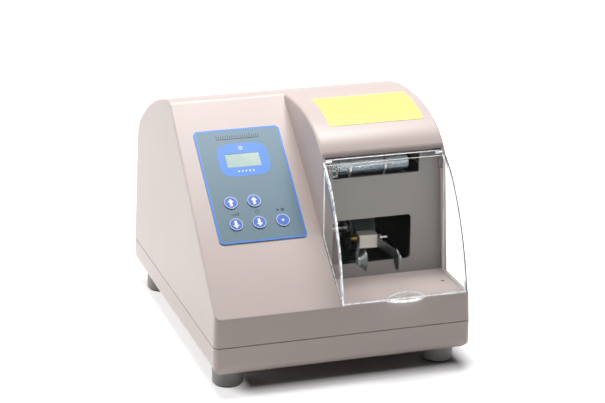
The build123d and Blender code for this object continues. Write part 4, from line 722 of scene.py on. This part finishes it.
bm = bmesh.new()
bmesh.ops.create_grid(bm, x_segments=2, y_segments=2, size=FLOOR_SIZE)
floor_mesh = bpy.data.meshes.new("floor")
bm.to_mesh(floor_mesh)
bm.free()
floor = bpy.data.objects.new("floor", floor_mesh)
floor_mesh.materials.append(floor_white_with_painted_shadow())
bpy.context.scene.collection.objects.link(floor)

WORLD_LIGHT, MIRRORED_SHARE = 0.06, 0.5
world = bpy.data.worlds.new("studio")
world.use_nodes = True
bpy.context.scene.world = world
world_nodes, world_links = world.node_tree.nodes, world.node_tree.links
background = world_nodes["Background"]
background.inputs["Color"].default_value = (1, 1, 1, 1)
# white to the eye and through clear pieces, half of that in gloss, and dim as a light
light_path = world_nodes.new("ShaderNodeLightPath")
seen = world_nodes.new("ShaderNodeMath")
seen.operation = "MAXIMUM"
world_links.new(light_path.outputs["Is Camera Ray"], seen.inputs[0])
world_links.new(light_path.outputs["Is Transmission Ray"], seen.inputs[1])
mirrored = world_nodes.new("ShaderNodeMath")
mirrored.operation = "MULTIPLY_ADD"
mirrored.inputs[1].default_value = MIRRORED_SHARE
world_links.new(light_path.outputs["Is Glossy Ray"], mirrored.inputs[0])
world_links.new(seen.outputs[0], mirrored.inputs[2])
strength = world_nodes.new("ShaderNodeMapRange")
strength.inputs["To Min"].default_value = WORLD_LIGHT
strength.inputs["To Max"].default_value = 1.0
world_links.new(mirrored.outputs[0], strength.inputs["Value"])
world_links.new(strength.outputs["Result"], background.inputs["Strength"])


LIGHT_TARGET = (0, 0, 0.1)


def softbox(name, place, size, power):
    """A soft rectangular light that looks at the object."""
    light = bpy.data.lights.new(name, "AREA")
    light.shape = "RECTANGLE"
    light.size, light.size_y = size
    light.energy = power
    made = bpy.data.objects.new(name, light)
    made.location = place
    made.rotation_mode = "QUATERNION"
    made.rotation_quaternion = (Vector(LIGHT_TARGET) - Vector(place)).to_track_quat("-Z", "Y")
    bpy.context.scene.collection.objects.link(made)


softbox("top_box", (0.03, 0.17, 1.2), (0.8, 0.55), 17.5)
softbox("left_box", (-1.5, 0.7, 0.6), (1.0, 1.0), 12)
softbox("front_box", (-0.5, -1.2, 1.9), (0.6, 0.6), 2)

# the camera fitted to the photo: its place, its three directions and its lens
CAMERA_PLACE = (-0.55850, -1.77667 + SHIFT_Y * MM, 0.76298)
CAMERA_RIGHT = Vector((0.95356665, -0.30109584, 0.00720721))
CAMERA_UP = Vector((0.092333, 0.31502745, 0.9445805))
CAMERA_AHEAD = Vector((0.28667973, 0.900055, -0.32820075))
SENSOR_WIDTH, FOCAL_LENGTH = 36.0, 130.42

camera_data = bpy.data.cameras.new("camera")
camera_data.sensor_fit = "HORIZONTAL"
camera_data.sensor_width = SENSOR_WIDTH
camera_data.lens = FOCAL_LENGTH
camera_data.clip_start = 0.05
camera_data.clip_end = 50
camera = bpy.data.objects.new("camera", camera_data)
turn = Matrix((CAMERA_RIGHT, CAMERA_UP, -CAMERA_AHEAD)).transposed().to_4x4()
camera.matrix_world = Matrix.Translation(CAMERA_PLACE) @ turn
bpy.context.scene.collection.objects.link(camera)
bpy.context.scene.camera = camera

bpy.context.scene.view_settings.view_transform = "Standard"

bpy.context.view_layer.update()
